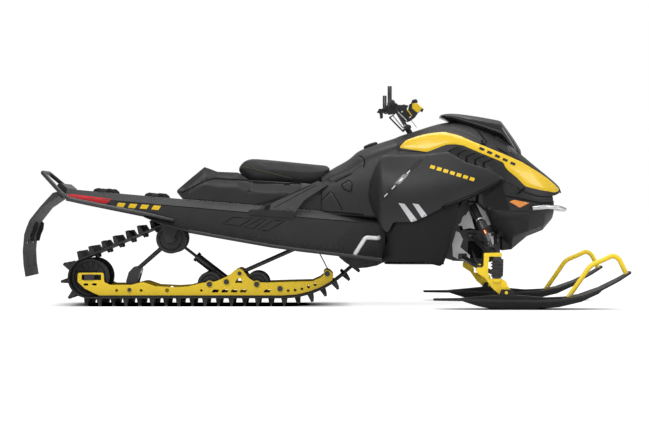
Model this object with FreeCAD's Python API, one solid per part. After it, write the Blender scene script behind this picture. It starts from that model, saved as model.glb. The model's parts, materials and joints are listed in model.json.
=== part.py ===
import FreeCAD, Part
import math
import os

# A mountain snowmobile in millimetres, +X forward, +Y to the rider's left, +Z up.
# The origin is on the floor under the middle of the machine, which stands on its
# track lugs and the keels of its two skis.

V = FreeCAD.Vector

# Overall sizes
half_length = 1583.0
ski_stance = 914.0
ski_y = ski_stance / 2
fit_gap = 0.3

# Track and its wheels
track_width = 406.0
lug_rows = 50
lug_height = 42.0
lug_base = 30.0
lug_tip = 13.0
belt_thickness = 6.0
drive_lug_height = 20.0
rear_wheel_radius = 101.6
rear_wheel_x = -1235.0
idler_radius = 80.0
idler_x = -804.0
idler_z = 357.0
sprocket_radius = 84.0
sprocket_x = 155.0
sprocket_z = 322.0
bogie_radius = 66.0
bogie_x = (-597.0, -346.0)
wheel_width = 24.0
wheel_y = 113.0
wheel_clearance = 1.5
axle_radius = 10.0
axle_head = 14.0

# Skid rails and slide shoes
rail_y = 150.0
rail_thickness = 12.0
rail_nose_x = -205.0
rail_nose_radius = 466.0
rail_nose_turn = math.radians(34.0)
shoe_height = 8.0
shoe_width = 20.0
belt_inner_z = lug_height + belt_thickness
rail_bottom_z = belt_inner_z + shoe_height
rail_nose_z = rail_bottom_z + rail_nose_radius
rear_wheel_z = belt_inner_z + rear_wheel_radius + wheel_clearance
bogie_z = belt_inner_z + bogie_radius + wheel_clearance

# Pivots of the skid's arms, shocks and straps, as (x, z)
front_arm_foot = (-437.0, 172.0)
front_arm_head = (-63.0, 338.0)
rear_arm_foot = (-1022.0, 86.0)
rear_shock_foot = (-507.0, 128.0)
middle_shaft = (-222.0, 92.0)
rail_tip_pivot = (28.0, 172.0)

# Tunnel, a folded sheet whose top slopes down to the front
tunnel_half = 220.0
sheet = 3.0
tunnel_bevel = 38.0
tunnel_rear_x = -1349.0
tunnel_front_x = 330.0
tunnel_rear_top_z = 621.0
tunnel_slope = 0.0882
board_outer_y = 345.0
board_thickness = 4.0
bumper_radius = 11.5
anchor_x = (-1164.0, -890.0)
anchor_y = 150.0
anchor_radius = 32.0
anchor_bore = 17.0
anchor_height = 18.0

# Seat
seat_half = 118.0
seat_base_half = 168.0
console_rear_x = 0.0

# Body shell
panel = 5.0
trim = 4.0
console_front_x = 420.0
lower_rear_x = 312.0
pan_z = 224.0
pan_front_x = 640.0
well_front_x = 334.0

# Front suspension
kingpin_x = 900.0
kingpin_y = 445.0
kingpin_radius = 11.0
knuckle_radius = 24.0
knuckle_low_z = 158.0
knuckle_high_z = 268.0
jaw_gap = 2.0
jaw_height = 18.0
jaw_radius = 26.0
arm_tube = 11.0
bush_radius = 15.0
frame_half = 124.0
frame_wall = 12.0
crown_x = 791.0
crown_low_z = 558.0
crown_half = 246.0

# Skis
ski_half = 90.0
ski_bolt_x = 944.0
ski_bolt_z = 86.0
ski_bolt_radius = 8.0
foot_half = 14.0
web_half = 10.0

# Steering
crank_x = 882.0
crank_z = 336.0
crank_thickness = 10.0
crank_pin = 6.0
eye_radius = 12.0
eye_height = 12.0
steer_arm = 88.0
steer_arm_top = 214.0
post_radius = 15.0
post_lean = math.radians(31.0)
post_foot = V(500.0, 0, 884.0)
post_axis = V(-math.sin(post_lean), 0, math.cos(post_lean))
bar_rise = 214.0
bar_radius = 11.1
bar_end_bore = 7.5
bar_end_depth = 30.0
bar_half = 372.0
hook_length = 94.0
hook_lean = math.radians(4.0)
grip_radius = 16.5


def tunnel_top(x):
    """Height of the tunnel's top face at a place along its length."""
    return tunnel_rear_top_z - tunnel_slope * (x - tunnel_rear_x)


def on_post(distance):
    """A point on the steering post's axis, counted up from the hood."""
    return post_foot + post_axis * distance


def rounded_edges(points, radius, closed):
    """Straight edges through the points, with a tangent arc at each corner."""
    count = len(points)
    corners = []
    for i, point in enumerate(points):
        if radius <= 0 or (not closed and i in (0, count - 1)):
            corners.append((point, None, point))
            continue
        back = points[i - 1] - point
        ahead = points[(i + 1) % count] - point
        turn = back.getAngle(ahead)
        if abs(turn - math.pi) < 1e-3:
            corners.append((point, None, point))
            continue
        reach = min(radius / math.tan(turn / 2), 0.45 * min(back.Length, ahead.Length))
        arc_radius = reach * math.tan(turn / 2)
        back.normalize()
        ahead.normalize()
        inward = back + ahead
        inward.normalize()
        middle = point + inward * (arc_radius / math.sin(turn / 2) - arc_radius)
        corners.append((point + back * reach, middle, point + ahead * reach))
    edges = []
    for i, (start, middle, end) in enumerate(corners):
        if middle is not None:
            edges.append(Part.Arc(start, middle, end).toShape())
        if closed or i < count - 1:
            following = corners[(i + 1) % count][0]
            if (following - end).Length > 1e-6:
                edges.append(Part.makeLine(end, following))
    return edges


def plate(points, low_y, high_y, radius=0.0):
    """A flat plate in the XZ plane, its corners rounded, between two Y places."""
    wire = Part.Wire(rounded_edges([V(x, low_y, z) for x, z in points], radius, True))
    return Part.Face(wire).extrude(V(0, high_y - low_y, 0))


def slab(points, low_z, high_z, radius=0.0):
    """A flat plate in the XY plane, its corners rounded, between two heights."""
    wire = Part.Wire(rounded_edges([V(x, y, low_z) for x, y in points], radius, True))
    return Part.Face(wire).extrude(V(0, 0, high_z - low_z))


def leaning_plate(points, low_z, low_y, lean, thickness):
    """A plate whose outer face starts at low_y and leans inward as it rises."""
    corners = [V(x, low_y - lean * (z - low_z), z) for x, z in points]
    wire = Part.Wire(rounded_edges(corners, 6.0, True))
    return Part.Face(wire).extrude(V(0, -thickness, 0))


def section(x, points):
    """A closed wire across the machine at one X, through (y, z) points."""
    return Part.makePolygon([V(x, y, z) for y, z in points + points[:1]])


def loft(sections):
    return Part.makeLoft([section(x, points) for x, points in sections], True, True)


def both_sides(half):
    """A closed section from the points of its left half, listed from the top."""
    return [(-y, z) for y, z in reversed(half) if y] + list(half)


def cylinder(start, end, radius):
    return Part.makeCylinder(radius, (end - start).Length, start, end - start)


def upright(x, y, low_z, high_z, radius):
    return Part.makeCylinder(radius, high_z - low_z, V(x, y, low_z))


def shaft(centre, low_y, high_y, radius):
    """A round bar across the machine through the point (x, z)."""
    x, z = centre
    return Part.makeCylinder(radius, high_y - low_y, V(x, low_y, z), V(0, 1, 0))


def pipe(points, radius, bend):
    """A round bar along straight runs and tangent arcs."""
    path = Part.Wire(rounded_edges([V(*p) for p in points], bend, False))
    start = V(*points[0])
    profile = Part.Wire(Part.makeCircle(radius, start, V(*points[1]) - start))
    return path.makePipeShell([profile], True, True)


def mirrored(shape):
    return shape.mirror(V(0, 0, 0), V(0, 1, 0))


def pair(shape):
    """The shape and its mirror image on the other side, as two solids."""
    return Part.makeCompound([shape, mirrored(shape)])


def fused(first, *others):
    return first.fuse(list(others)).removeSplitter()


def largest(shape):
    """The main solid that is left after a cut."""
    return max(shape.Solids, key=lambda solid: solid.Volume)


# Track loop: the belt's inner face wraps these four circles in turn.
track_circles = [
    (rear_wheel_x, rear_wheel_z, rear_wheel_radius + wheel_clearance),
    (rail_nose_x, rail_nose_z, rail_nose_radius + shoe_height),
    (sprocket_x, sprocket_z, sprocket_radius + wheel_clearance),
    (idler_x, idler_z, idler_radius + wheel_clearance),
]


def tangent_angle(first, second):
    """Direction of the outward normal of the line that touches both circles."""
    dx = second[0] - first[0]
    dz = second[1] - first[1]
    return math.atan2(dz, dx) - math.acos((first[2] - second[2]) / math.hypot(dx, dz))


def loop_pieces(offset):
    """Arcs and lines of the loop, grown outwards by offset, as (length, point at)."""
    pieces = []
    count = len(track_circles)
    normals = [
        tangent_angle(track_circles[i], track_circles[(i + 1) % count])
        for i in range(count)
    ]
    for i, (x, z, radius) in enumerate(track_circles):
        grown = radius + offset
        start = normals[i - 1]
        sweep = (normals[i] - start) % (2 * math.pi)

        def on_arc(share, x=x, z=z, grown=grown, start=start, sweep=sweep):
            angle = start + sweep * share
            return x + grown * math.cos(angle), z + grown * math.sin(angle), angle

        pieces.append((grown * sweep, on_arc))
        angle = normals[i]
        far_x, far_z, far_radius = track_circles[(i + 1) % count]
        begin = (x + grown * math.cos(angle), z + grown * math.sin(angle))
        reach = far_radius + offset
        finish = (far_x + reach * math.cos(angle), far_z + reach * math.sin(angle))

        def on_line(share, begin=begin, finish=finish, angle=angle):
            return (
                begin[0] + (finish[0] - begin[0]) * share,
                begin[1] + (finish[1] - begin[1]) * share,
                angle,
            )

        run = math.hypot(finish[0] - begin[0], finish[1] - begin[1])
        pieces.append((run, on_line))
    return pieces


def loop_point(distance, offset):
    """Place and outward direction at a distance along the belt's middle line."""
    middle = loop_pieces(belt_thickness / 2)
    grown = loop_pieces(offset)
    distance = distance % sum(length for length, _ in middle)
    for (length, _), (_, place) in zip(middle, grown):
        if distance <= length:
            return place(distance / length)
        distance -= length
    return grown[-1][1](1.0)


loop_length = sum(length for length, _ in loop_pieces(belt_thickness / 2))
lug_pitch = loop_length / lug_rows


def tooth(distance, offset, height, base, tip, low_y, high_y):
    """A tapered block across the belt, pointing out or, with a negative height, in."""
    x, z, angle = loop_point(distance, offset)
    out = V(math.cos(angle), 0, math.sin(angle))
    along = V(-math.sin(angle), 0, math.cos(angle))
    root = V(x, low_y, z) - out * math.copysign(1.0, height)
    top = V(x, low_y, z) + out * height
    corners = [
        root - along * (base / 2),
        root + along * (base / 2),
        top + along * (tip / 2),
        top - along * (tip / 2),
    ]
    face = Part.Face(Part.makePolygon(corners + corners[:1]))
    return face.extrude(V(0, high_y - low_y, 0))


def make_track():
    """Rubber belt whose rows of lugs alternate in width, with drive lugs inside."""
    half = track_width / 2
    steps = 3 * lug_rows
    outer = []
    inner = []
    for i in range(steps):
        place = (i + 0.5) * loop_length / steps
        x, z, _ = loop_point(place, belt_thickness)
        outer.append((x, z))
        x, z, _ = loop_point(place, 0.0)
        inner.append((x, z))
    belt = plate(outer, -half, half).cut(plate(inner, -half - 1, half + 1))
    edge = 5.0
    wide_rows = [(-half + edge, -104.0), (-62.0, 62.0), (104.0, half - edge)]
    narrow_rows = [(-168.0, -30.0), (30.0, 168.0)]
    teeth = []
    for row in range(lug_rows):
        spans = wide_rows if row % 2 else narrow_rows
        place = row * lug_pitch
        for low, high in spans:
            teeth.append(
                tooth(place, belt_thickness, lug_height, lug_base, lug_tip, low, high)
            )
        for low, high in ((-72.0, -48.0), (48.0, 72.0)):
            teeth.append(tooth(place, 0.0, -drive_lug_height, 22.0, 12.0, low, high))
    return belt.fuse(teeth).removeSplitter()


def wheel(x, z, radius):
    """Idler wheel: a rubber-rimmed disc with a deep dish on both faces and a hub."""
    bore = axle_radius + fit_gap
    half = wheel_width / 2
    hub = bore + 16.0
    web = 4.0
    rim = radius - 17.0
    edge = 3.0
    side = [
        (bore, half),
        (hub, half),
        (hub + web, web),
        (rim - web, web),
        (rim, half),
        (radius - edge, half),
        (radius, half - edge),
    ]
    outline = [V(r, wheel_y - y, 0) for r, y in side]
    outline += [V(r, wheel_y + y, 0) for r, y in reversed(side)]
    body = Part.Face(Part.makePolygon(outline + outline[:1])).revolve(V(0, 0, 0), V(0, 1, 0), 360)
    body.translate(V(x, 0, z))
    return body


def make_rear_wheels():
    return pair(wheel(rear_wheel_x, rear_wheel_z, rear_wheel_radius))


def make_bogie_wheels():
    """Two pairs of small wheels on the rails and the pair that carries the top run."""
    solids = []
    for x in bogie_x:
        solids += pair(wheel(x, bogie_z, bogie_radius)).Solids
    solids += pair(wheel(idler_x, idler_z, idler_radius)).Solids
    return Part.makeCompound(solids)


rail_low_y = rail_y - rail_thickness / 2
rail_high_y = rail_y + rail_thickness / 2


def nose_point(turn, inset=0.0):
    """A point on the rail's upswept nose, or inside it by inset."""
    reach = rail_nose_radius - inset
    return rail_nose_x + reach * math.sin(turn), rail_nose_z - reach * math.cos(turn)


def rail_outline():
    """Side view of a rail, from the start of its nose round to its tail."""
    foot = [nose_point(rail_nose_turn * i / 4) for i in range(5)]
    top = [
        (62, 168),
        (40, 190),
        (-8, 150),
        (-50, 131),
        (-178, 128),
        (-293, 124),
        (-356, 126),
        (-391, 151),
        (-420, 190),
        (-440, 199),
        (-462, 190),
        (-500, 158),
        (-564, 130),
        (-638, 122),
        (-713, 103),
        (-775, 99),
        (-884, 104),
        (-944, 125),
        (-962, 125),
        (-1012, 112),
        (-1125, 112),
        (-1156, 126),
        (-1160, 176),
        (-1290, 176),
        (-1297, 168),
        (-1297, 128),
        (-1259, 92),
        (-1184, rail_bottom_z),
    ]
    return foot + top


def slanted_slot(x, z, length, height, lean):
    return [
        (x - length / 2 - lean, z - height / 2),
        (x + length / 2 - lean, z - height / 2),
        (x + length / 2 + lean, z + height / 2),
        (x - length / 2 + lean, z + height / 2),
    ]


def through_rail(points, radius):
    return plate(points, rail_low_y - 1, rail_high_y + 1, radius)


def rail_hole(place, radius):
    return shaft(place, rail_low_y - 1, rail_high_y + 1, radius)


cross_shafts = [
    (bogie_x[0], bogie_z),
    (bogie_x[1], bogie_z),
    rear_shock_foot,
    middle_shaft,
    rail_tip_pivot,
]

# Adjuster window of the rear axle, as its low and high corner
window_low = (-1276.0, 137.0)
window_high = (-1172.0, 167.0)


def make_rails():
    """Two pressed side plates of the skid, with lightening slots and adjuster windows."""
    rail = plate(rail_outline(), rail_low_y, rail_high_y, 9.0)
    bosses = [shaft(place, rail_low_y, rail_high_y, 19.0) for place in cross_shafts]
    adjuster = [window_low, (window_high[0], window_low[1]), window_high, (window_low[0], window_high[1])]
    cuts = [
        through_rail(slanted_slot(x, 79, 34, 16, 5), 4.0) for x in (-565, -515, -465, -417, -290)
    ]
    cuts += [
        through_rail([(-464, 122), (-420, 122), (-432, 146), (-448, 146)], 3.0),
        through_rail(adjuster, 5.0),
        through_rail(slanted_slot(-1253, 114, 26, 12, 0), 5.5),
        through_rail(slanted_slot(-1208, 114, 26, 12, 0), 5.5),
    ]
    for share in (0.1, 0.24, 0.38, 0.52, 0.66):
        cuts.append(rail_hole(nose_point(rail_nose_turn * share, 24.0), 8.0))
    for x, radius in ((-1090, 8), (-960, 8), (-822, 11), (-640, 7)):
        cuts.append(rail_hole((x, 82), radius))
    for place in cross_shafts + [front_arm_foot, rear_arm_foot]:
        cuts.append(rail_hole(place, axle_radius + fit_gap))
    return pair(fused(rail, *bosses).cut(cuts))


def make_shoes():
    """Plastic slide shoes between the rails and the belt."""
    low = rail_y - shoe_width / 2
    high = rail_y + shoe_width / 2
    end = rail_nose_turn * 0.97
    start_x = -1180.0
    under = [V(x, low, z) for x, z in (nose_point(end * i / 2, fit_gap - shoe_height) for i in range(3))]
    over = [V(x, low, z) for x, z in (nose_point(end * i / 2) for i in (2, 1, 0))]
    rear_low = V(start_x, low, belt_inner_z)
    rear_high = V(start_x, low, rail_bottom_z)
    corner = V(rail_nose_x, low, belt_inner_z)
    edges = [
        Part.makeLine(rear_low, corner),
        Part.makeLine(corner, under[0]),
        Part.Arc(*under).toShape(),
        Part.makeLine(under[-1], over[0]),
        Part.Arc(*over).toShape(),
        Part.makeLine(over[-1], rear_high),
        Part.makeLine(rear_high, rear_low),
    ]
    body = Part.Face(Part.Wire(edges)).extrude(V(0, high - low, 0))
    rail = plate(rail_outline(), rail_low_y, rail_high_y, 9.0)
    return pair(body.cut(rail))


def make_skid_shafts():
    """Cross shafts bolted between the rails, with their heads outside."""
    reach = rail_high_y + 9.0
    solids = []
    for place in cross_shafts:
        bar = shaft(place, -reach, reach, axle_radius)
        heads = [
            shaft(place, rail_high_y + fit_gap, reach, axle_head),
            shaft(place, -reach, -rail_high_y - fit_gap, axle_head),
        ]
        solids.append(fused(bar, *heads))
    return Part.makeCompound(solids)


def make_rear_axle():
    """Cross shaft of the rear wheels with its adjuster blocks in the rail windows."""
    reach = rail_high_y + 12.0
    low_z = window_low[1] + fit_gap
    high_z = window_high[1] - fit_gap
    outline = [
        (rear_wheel_x - 26, low_z),
        (rear_wheel_x + 26, low_z),
        (rear_wheel_x + 26, high_z),
        (rear_wheel_x - 26, high_z),
    ]
    bar = shaft((rear_wheel_x, rear_wheel_z), -reach, reach, axle_radius)
    block = plate(outline, rail_low_y - 2.0, rail_high_y + 5.0)
    return fused(bar, block, mirrored(block))


skid_wall = tunnel_half - sheet - fit_gap
arm_hub = 14.0
idler_hub = 17.0


def make_front_arm():
    """Front arm of the skid: two long tubes from the rails up to the tunnel."""
    foot_half = 92.0
    head_half = 150.0
    tube = 10.0
    legs = [
        cylinder(
            V(front_arm_foot[0], side * (foot_half - tube), front_arm_foot[1]),
            V(front_arm_head[0], side * (head_half - tube), front_arm_head[1]),
            tube,
        )
        for side in (-1, 1)
    ]
    bars = [
        shaft(front_arm_foot, -rail_high_y - 10.0, rail_high_y + 10.0, axle_radius),
        shaft(front_arm_foot, -foot_half, foot_half, arm_hub),
        shaft(front_arm_head, -skid_wall, skid_wall, axle_radius),
        shaft(front_arm_head, -head_half, head_half, arm_hub),
    ]
    return fused(*legs, *bars)


def make_rear_arm():
    """Rear arm: a rocker on the rails and two tubes up to the shaft of the top wheels."""
    low_pivot = V(-1000.0, 0, 186.0)
    outline = [
        (-1040, 70),
        (-1004, 70),
        (-992, 112),
        (-978, 160),
        (-968, 196),
        (-1006, 208),
        (-1036, 176),
        (-1050, 128),
    ]
    rocker = plate(outline, -70.0, 70.0, 14.0)
    rocker = rocker.cut(plate([(-1100, 104), (-900, 104), (-900, 168), (-1100, 168)], -44.0, 44.0))
    legs = [
        cylinder(low_pivot + V(0, side * 56.0, 0), V(idler_x, side * 76.0, idler_z), 9.0)
        for side in (-1, 1)
    ]
    bars = [
        shaft(rear_arm_foot, -rail_high_y - 10.0, rail_high_y + 10.0, axle_radius),
        shaft((idler_x, idler_z), -skid_wall, skid_wall, axle_radius),
        shaft((idler_x, idler_z), -88.0, 88.0, idler_hub),
    ]
    return fused(rocker, *legs, *bars)


def coil_over(low, high, radius, eye, eye_half, share):
    """A damper: eyes at both ends, a shaft, and a body over the given share on top."""
    axis = high - low
    along = V(axis)
    along.normalize()
    split = low + axis * (1 - share)
    body = cylinder(split, high - along * eye * 0.8, radius)
    collar = cylinder(split - along * 6, split + along * 10, radius + 5)
    rod = cylinder(low, split, 8.0)
    eyes = [shaft((point.x, point.z), -eye_half, eye_half, eye) for point in (low, high)]
    return fused(body, collar, rod, *eyes)


def make_skid_shock():
    """The skid's damper, its thick body low on the rails' shaft and its rod up at the arm."""
    eye = 17.0
    eye_half = 24.0
    foot = V(rear_shock_foot[0], 0, rear_shock_foot[1])
    head = V(idler_x, 0, idler_z)
    lean = head - foot
    lean.normalize()
    rod_eye = head - lean * (idler_hub + eye + fit_gap)
    damper = coil_over(rod_eye, foot, 22.0, eye, eye_half, 0.62)
    return damper.cut(shaft(rear_shock_foot, -eye_half - 1, eye_half + 1, axle_radius + fit_gap))


def make_limiter_straps():
    """Thin webbing from the front arm's head down to the rail tips."""
    high = V(front_arm_head[0], 0, front_arm_head[1])
    low = V(rail_tip_pivot[0], 0, rail_tip_pivot[1])
    down = low - high
    down.normalize()
    out = V(-down.z, 0, down.x)
    start = high + out * (arm_hub + fit_gap)
    end = low + out * (axle_radius + fit_gap)
    corners = [start, end, end + out * 3, start + out * 3]
    return pair(plate([(p.x, p.z) for p in corners], 78.0, 102.0))


def make_drive_axle():
    """Drive shaft with two moulded sprockets inside the belt's front loop."""
    teeth = 8
    bar = shaft((sprocket_x, sprocket_z), -skid_wall, skid_wall, 15.0)
    outline = []
    for i in range(2 * teeth):
        radius = sprocket_radius if i % 2 else sprocket_radius - 16.0
        angle = math.pi * i / teeth
        outline.append(
            (sprocket_x + radius * math.cos(angle), sprocket_z + radius * math.sin(angle))
        )
    disc = plate(outline, 84.0, 96.0)
    return fused(bar, disc, mirrored(disc))


def under_tunnel_top(grow):
    """Everything below the tunnel's outer faces moved out by grow, over its length."""
    half = tunnel_half + grow
    top = tunnel_rear_top_z + grow
    shoulder = tunnel_bevel - grow * 0.41
    low = tunnel_rear_top_z - 520.0
    left = [(half - shoulder, top), (half, top - shoulder), (half, low)]
    run = tunnel_front_x - tunnel_rear_x
    face = Part.Face(section(tunnel_rear_x, both_sides(left)))
    return face.extrude(V(run, 0, -tunnel_slope * run))


tunnel_edge = [
    (-1344, 557),
    (-1249, 536),
    (-943, 474),
    (-839, 433),
    (-695, 396),
    (-484, 358),
    (-263, 319),
    (-115, 298),
    (64, 277),
    (tunnel_front_x, 246),
]


def make_tunnel():
    """Folded sheet tunnel over the track, with pressed ribs and the rear arm's hangers."""
    shell = under_tunnel_top(0.0).cut(under_tunnel_top(-sheet))
    outline = tunnel_edge + [(tunnel_front_x, 760), (tunnel_rear_x, 760), (tunnel_rear_x, 557)]
    shell = shell.common(plate(outline, -tunnel_half - 1, tunnel_half + 1))
    ribs = [
        [(-522, 437), (-470, 474), (-364, 464), (-434, 422)],
        [(-407, 418), (-316, 464), (-292, 462), (-364, 410)],
        [(-338, 405), (-256, 455), (-192, 455), (-286, 397)],
    ]
    hanger = [
        (idler_x - 62, 478),
        (idler_x + 62, 466),
        (idler_x + 18, idler_z - 19),
        (idler_x - 18, idler_z - 19),
    ]
    added = [plate(rib, tunnel_half - 1.0, tunnel_half + 2.0, 4.0) for rib in ribs]
    added.append(plate(hanger, tunnel_half - sheet, tunnel_half, 12.0))
    return fused(shell, *added, *[mirrored(piece) for piece in added])


flank_y = tunnel_half + fit_gap


def running_board():
    """Left footboard on the tunnel's lower edge, pierced for grip, with a rolled edge."""
    edge = [p for p in tunnel_edge if p[0] > -950]
    upper = [(x, z + board_thickness) for x, z in reversed(edge)]
    board = plate(edge + upper, flank_y, board_outer_y)
    front = lower_rear_x - fit_gap
    plan = slab(
        [
            (-936, flank_y),
            (front, flank_y),
            (front, board_outer_y),
            (-690, board_outer_y),
            (-936, flank_y + 24),
        ],
        0,
        900,
    )
    lip_y = board_outer_y - 6.0
    lip_path = [(x, lip_y, z + 3.0) for x, z in edge if -700 < x < lower_rear_x]
    lip_path.append((front, lip_y, 251.0))
    lip = pipe(lip_path, 9.0, 120.0)
    holes = []
    for i in range(11):
        x = -610.0 + i * 76.0
        holes.append(slab([(x, 246), (x + 44, 246), (x + 30, 312), (x - 14, 312)], 200, 500, 8.0))
    return fused(board.common(plan).cut(holes), lip).cut(foot_well_wall())


def make_running_boards():
    return pair(largest(running_board()))


def make_toe_holds():
    """Bent bars at the front of the footboards that hold the rider's feet."""
    path = [
        (168, 322, 250),
        (176, 322, 284),
        (228, 322, 366),
        (292, 318, 362),
        (304, 214, 366),
    ]
    bar = pipe(path, 9.0, 22.0)
    return pair(largest(bar.cut([running_board(), foot_well_wall(), lower_panel()])))


bumper_y = tunnel_half + fit_gap + bumper_radius
bumper_back = (-1490.0, 709.0)
bumper_back_y = 112.0
bumper_knee = (-1374.0, 600.0)


def make_rear_bumper():
    """Tube along the tunnel's lower edge, up to a grab bar behind it."""
    side = [(-780, 452), (-943, 491), (-1180, 536), (-1328, 566), bumper_knee]
    path = [(x, bumper_y, z) for x, z in side] + [(*bumper_back[:1], bumper_back_y, bumper_back[1])]
    path += [(x, -y, z) for x, y, z in reversed(path)]
    return pipe(path, bumper_radius, 26.0)


flap_half = 190.0
flap_thickness = 9.0
tail_low = (-1372.0, 572.0)
tail_high = (-1402.0, 606.0)


def make_tail_light():
    """Housing that closes the tunnel's rear end and carries the lamp."""
    front_x = tunnel_rear_x - fit_gap
    outline = [
        (front_x, 574),
        (front_x, 626),
        (-1378, 650),
        (-1398, 648),
        (-1404, 634),
        tail_high,
        tail_low,
    ]
    half = flap_half - 10.0
    return plate(outline, -half, half)


def make_snow_flap():
    """Rubber flap: one curved sheet with stiffening ribs in front and pierced slots."""
    rear_line = [
        (tail_high[0] - 2 * fit_gap, tail_high[1]),
        (-1424, 600),
        (-1490, 528),
        (-1547, 456),
        (-1562, 420),
        (-1575, 381),
        (-half_length, 292),
        (-1579, 220),
        (-1569, 156),
    ]
    front_line = [
        (-1560, 157),
        (-1570, 221),
        (-half_length + flap_thickness, 291),
        (-1566, 379),
        (-1553, 416),
        (-1539, 450),
        (-1483, 521),
        (tail_low[0] - 2 * fit_gap - 18, tail_low[1] + 12),
        (tail_low[0] - 2 * fit_gap, tail_low[1]),
    ]
    sheet_body = plate(rear_line + front_line, -flap_half, flap_half)
    rib_outline = [
        (-1576, 340),
        (-1568, 384),
        (-1554, 420),
        (-1541, 448),
        (-1530, 436),
        (-1534, 404),
        (-1546, 376),
        (-1556, 340),
    ]
    ribs = [plate(rib_outline, y - 6.0, y + 6.0) for y in (-flap_half + 6.0, 0.0, flap_half - 6.0)]
    slots = []
    for y in (-96.0, 96.0):
        slots.append(Part.makeBox(60.0, 60.0, 22.0, V(-1600, y - 30.0, 330.0)))
        slots.append(Part.makeBox(60.0, 24.0, 60.0, V(-1600, y - 12.0, 205.0)))
    return fused(sheet_body, *ribs).cut(slots)


def make_anchors():
    """Round sockets on the tunnel that take cargo fasteners."""
    out = V(tunnel_slope, 0, 1)
    out.normalize()
    solids = []
    for x in anchor_x:
        base = V(x, anchor_y, tunnel_top(x)) + out * fit_gap
        flange = Part.makeCylinder(anchor_radius, anchor_height * 0.6, base, out)
        neck = Part.makeCylinder(anchor_bore + 7.0, anchor_height, base, out)
        bore = Part.makeCylinder(anchor_bore, anchor_height + 2, base - out, out)
        solids += pair(fused(flange, neck).cut(bore)).Solids
    return Part.makeCompound(solids)


seat_base_stations = [
    (-768, 603, 618),
    (-700, 520, 676),
    (-625, 500, 738),
    (-606, 500, 732),
    (-557, 500, 713),
    (-448, 500, 709),
    (-388, 500, 668),
    (-95, 500, 652),
    (console_rear_x - fit_gap, 490, 642),
]


def seat_base_solid(grow):
    sections = []
    for x, low, high in seat_base_stations:
        half = seat_base_half + grow
        high += grow
        crease = low + 0.62 * (high - low)
        sections.append((x, both_sides([(half - 34, high), (half, crease), (half, low)])))
    return loft(sections)


def make_seat_base():
    """Moulded box under the seat that rises to a low rear bolster."""
    return seat_base_solid(0.0).cut(under_tunnel_top(fit_gap))


def make_seat():
    """Slim seat cushion, pinched at the front."""
    stations = [
        (-457, 724, 748, seat_half - 34),
        (-446, 706, 762, seat_half - 22),
        (-418, 684, 783, seat_half - 10),
        (-382, 660, 785, seat_half - 2),
        (-339, 650, 785, seat_half),
        (-120, 640, 761, seat_half - 8),
        (10, 640, 744, seat_half - 20),
        (52, 690, 739, seat_half - 32),
    ]
    sections = []
    for x, low, high, half in stations:
        middle = (low + high) / 2
        left = [(half - 26, high), (half - 4, middle + 8), (half, middle - 4), (half - 16, low)]
        sections.append((x, both_sides(left)))
    return largest(loft(sections).cut([seat_base_solid(fit_gap), console_solid(fit_gap)]))


def make_seat_struts():
    """Slanted side braces from the tunnel's flank up to the console."""
    foot_outline = [(-384, 486), (-388, 504), (-372, 512), (-150, 506), (-146, 466)]
    foot = plate(foot_outline, flank_y, flank_y + 10.0, 6.0)
    outline = [(-372, 500), (-22, 664), (36, 646), (-92, 562), (-150, 486)]
    brace = leaning_plate(outline, 486.0, flank_y + 10.0, 0.3, 10.0)
    bolts = [
        shaft((x, z), flank_y + 9.0, flank_y + 15.0, 9.0) for x, z in ((-330, 500), (-192, 488))
    ]
    bodies = [console_solid(fit_gap), seat_base_solid(fit_gap), under_tunnel_top(fit_gap)]
    return pair(largest(fused(foot, brace, *bolts).cut(bodies)))


console_stations = [
    (console_rear_x, 480, 560, 646, 690, 178, 122),
    (60, 480, 590, 700, 742, 190, 112),
    (147, 480, 600, 740, 779, 206, 106),
    (226, 480, 620, 790, 842, 226, 105),
    (302, 480, 640, 815, 868, 240, 105),
    (console_front_x, 480, 640, 856, 908, 240, 105),
]


def console_solid(grow):
    """Outer form of the console grown by a margin, or its inside when negative."""
    sections = []
    for x, low, middle, shoulder, top, half, top_half in console_stations:
        if x == console_rear_x:
            x -= grow
        if grow < 0:
            low -= 40.0
        half += grow
        left = [
            (top_half + grow, top + grow),
            (half * 0.95, shoulder + grow),
            (half, middle),
            (half, low),
        ]
        sections.append((x, both_sides(left)))
    return loft(sections)


def make_console():
    """Shell over the fuel tank, from the seat up to the hood."""
    shell = console_solid(0.0).cut(console_solid(-panel))
    return largest(shell.cut([under_tunnel_top(fit_gap), steering_room()]))


hood_stations = [
    (console_front_x + fit_gap, [(0, 912), (112, 910), (226, 862), (248, 824), (256, 787)]),
    (480, [(0, 926), (126, 919), (224, 880), (252, 830), (265, 783)]),
    (560, [(0, 953), (136, 944), (228, 906), (258, 822), (276, 776)]),
    (660, [(0, 985), (146, 972), (228, 912), (264, 852), (284, 762)]),
    (760, [(0, 990), (150, 968), (234, 886), (270, 838), (290, 745)]),
    (860, [(0, 965), (150, 940), (238, 852), (274, 802), (292, 712)]),
    (960, [(0, 915), (144, 888), (232, 811), (272, 762), (288, 680)]),
    (1060, [(0, 812), (132, 796), (212, 764), (252, 652), (268, 596)]),
    (1160, [(0, 727), (116, 718), (186, 706), (222, 612), (232, 572)]),
    (1245, [(0, 664), (92, 658), (140, 628), (160, 602), (164, 556)]),
    (1286, [(0, 626), (60, 622), (84, 614), (96, 600), (98, 566)]),
]


def hood_solid(grow, drop=0.0):
    """Outer form of the hood grown by a margin, its lower edge let down by drop."""
    sections = []
    for x, left in hood_stations:
        if x == hood_stations[-1][0]:
            x += min(grow, 0.0)
        grown = [(y + grow if y else 0.0, z + grow) for y, z in left]
        edge_y, edge_z = left[-1]
        grown[-1] = (edge_y + grow, edge_z - drop - max(grow, 0.0))
        sections.append((x, both_sides(grown)))
    return loft(sections)


def make_hood():
    """Upper shell from the console to the nose, open below."""
    shell = hood_solid(0.0).cut(hood_solid(-panel, 60.0))
    return largest(shell.cut(steering_room()))


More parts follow.
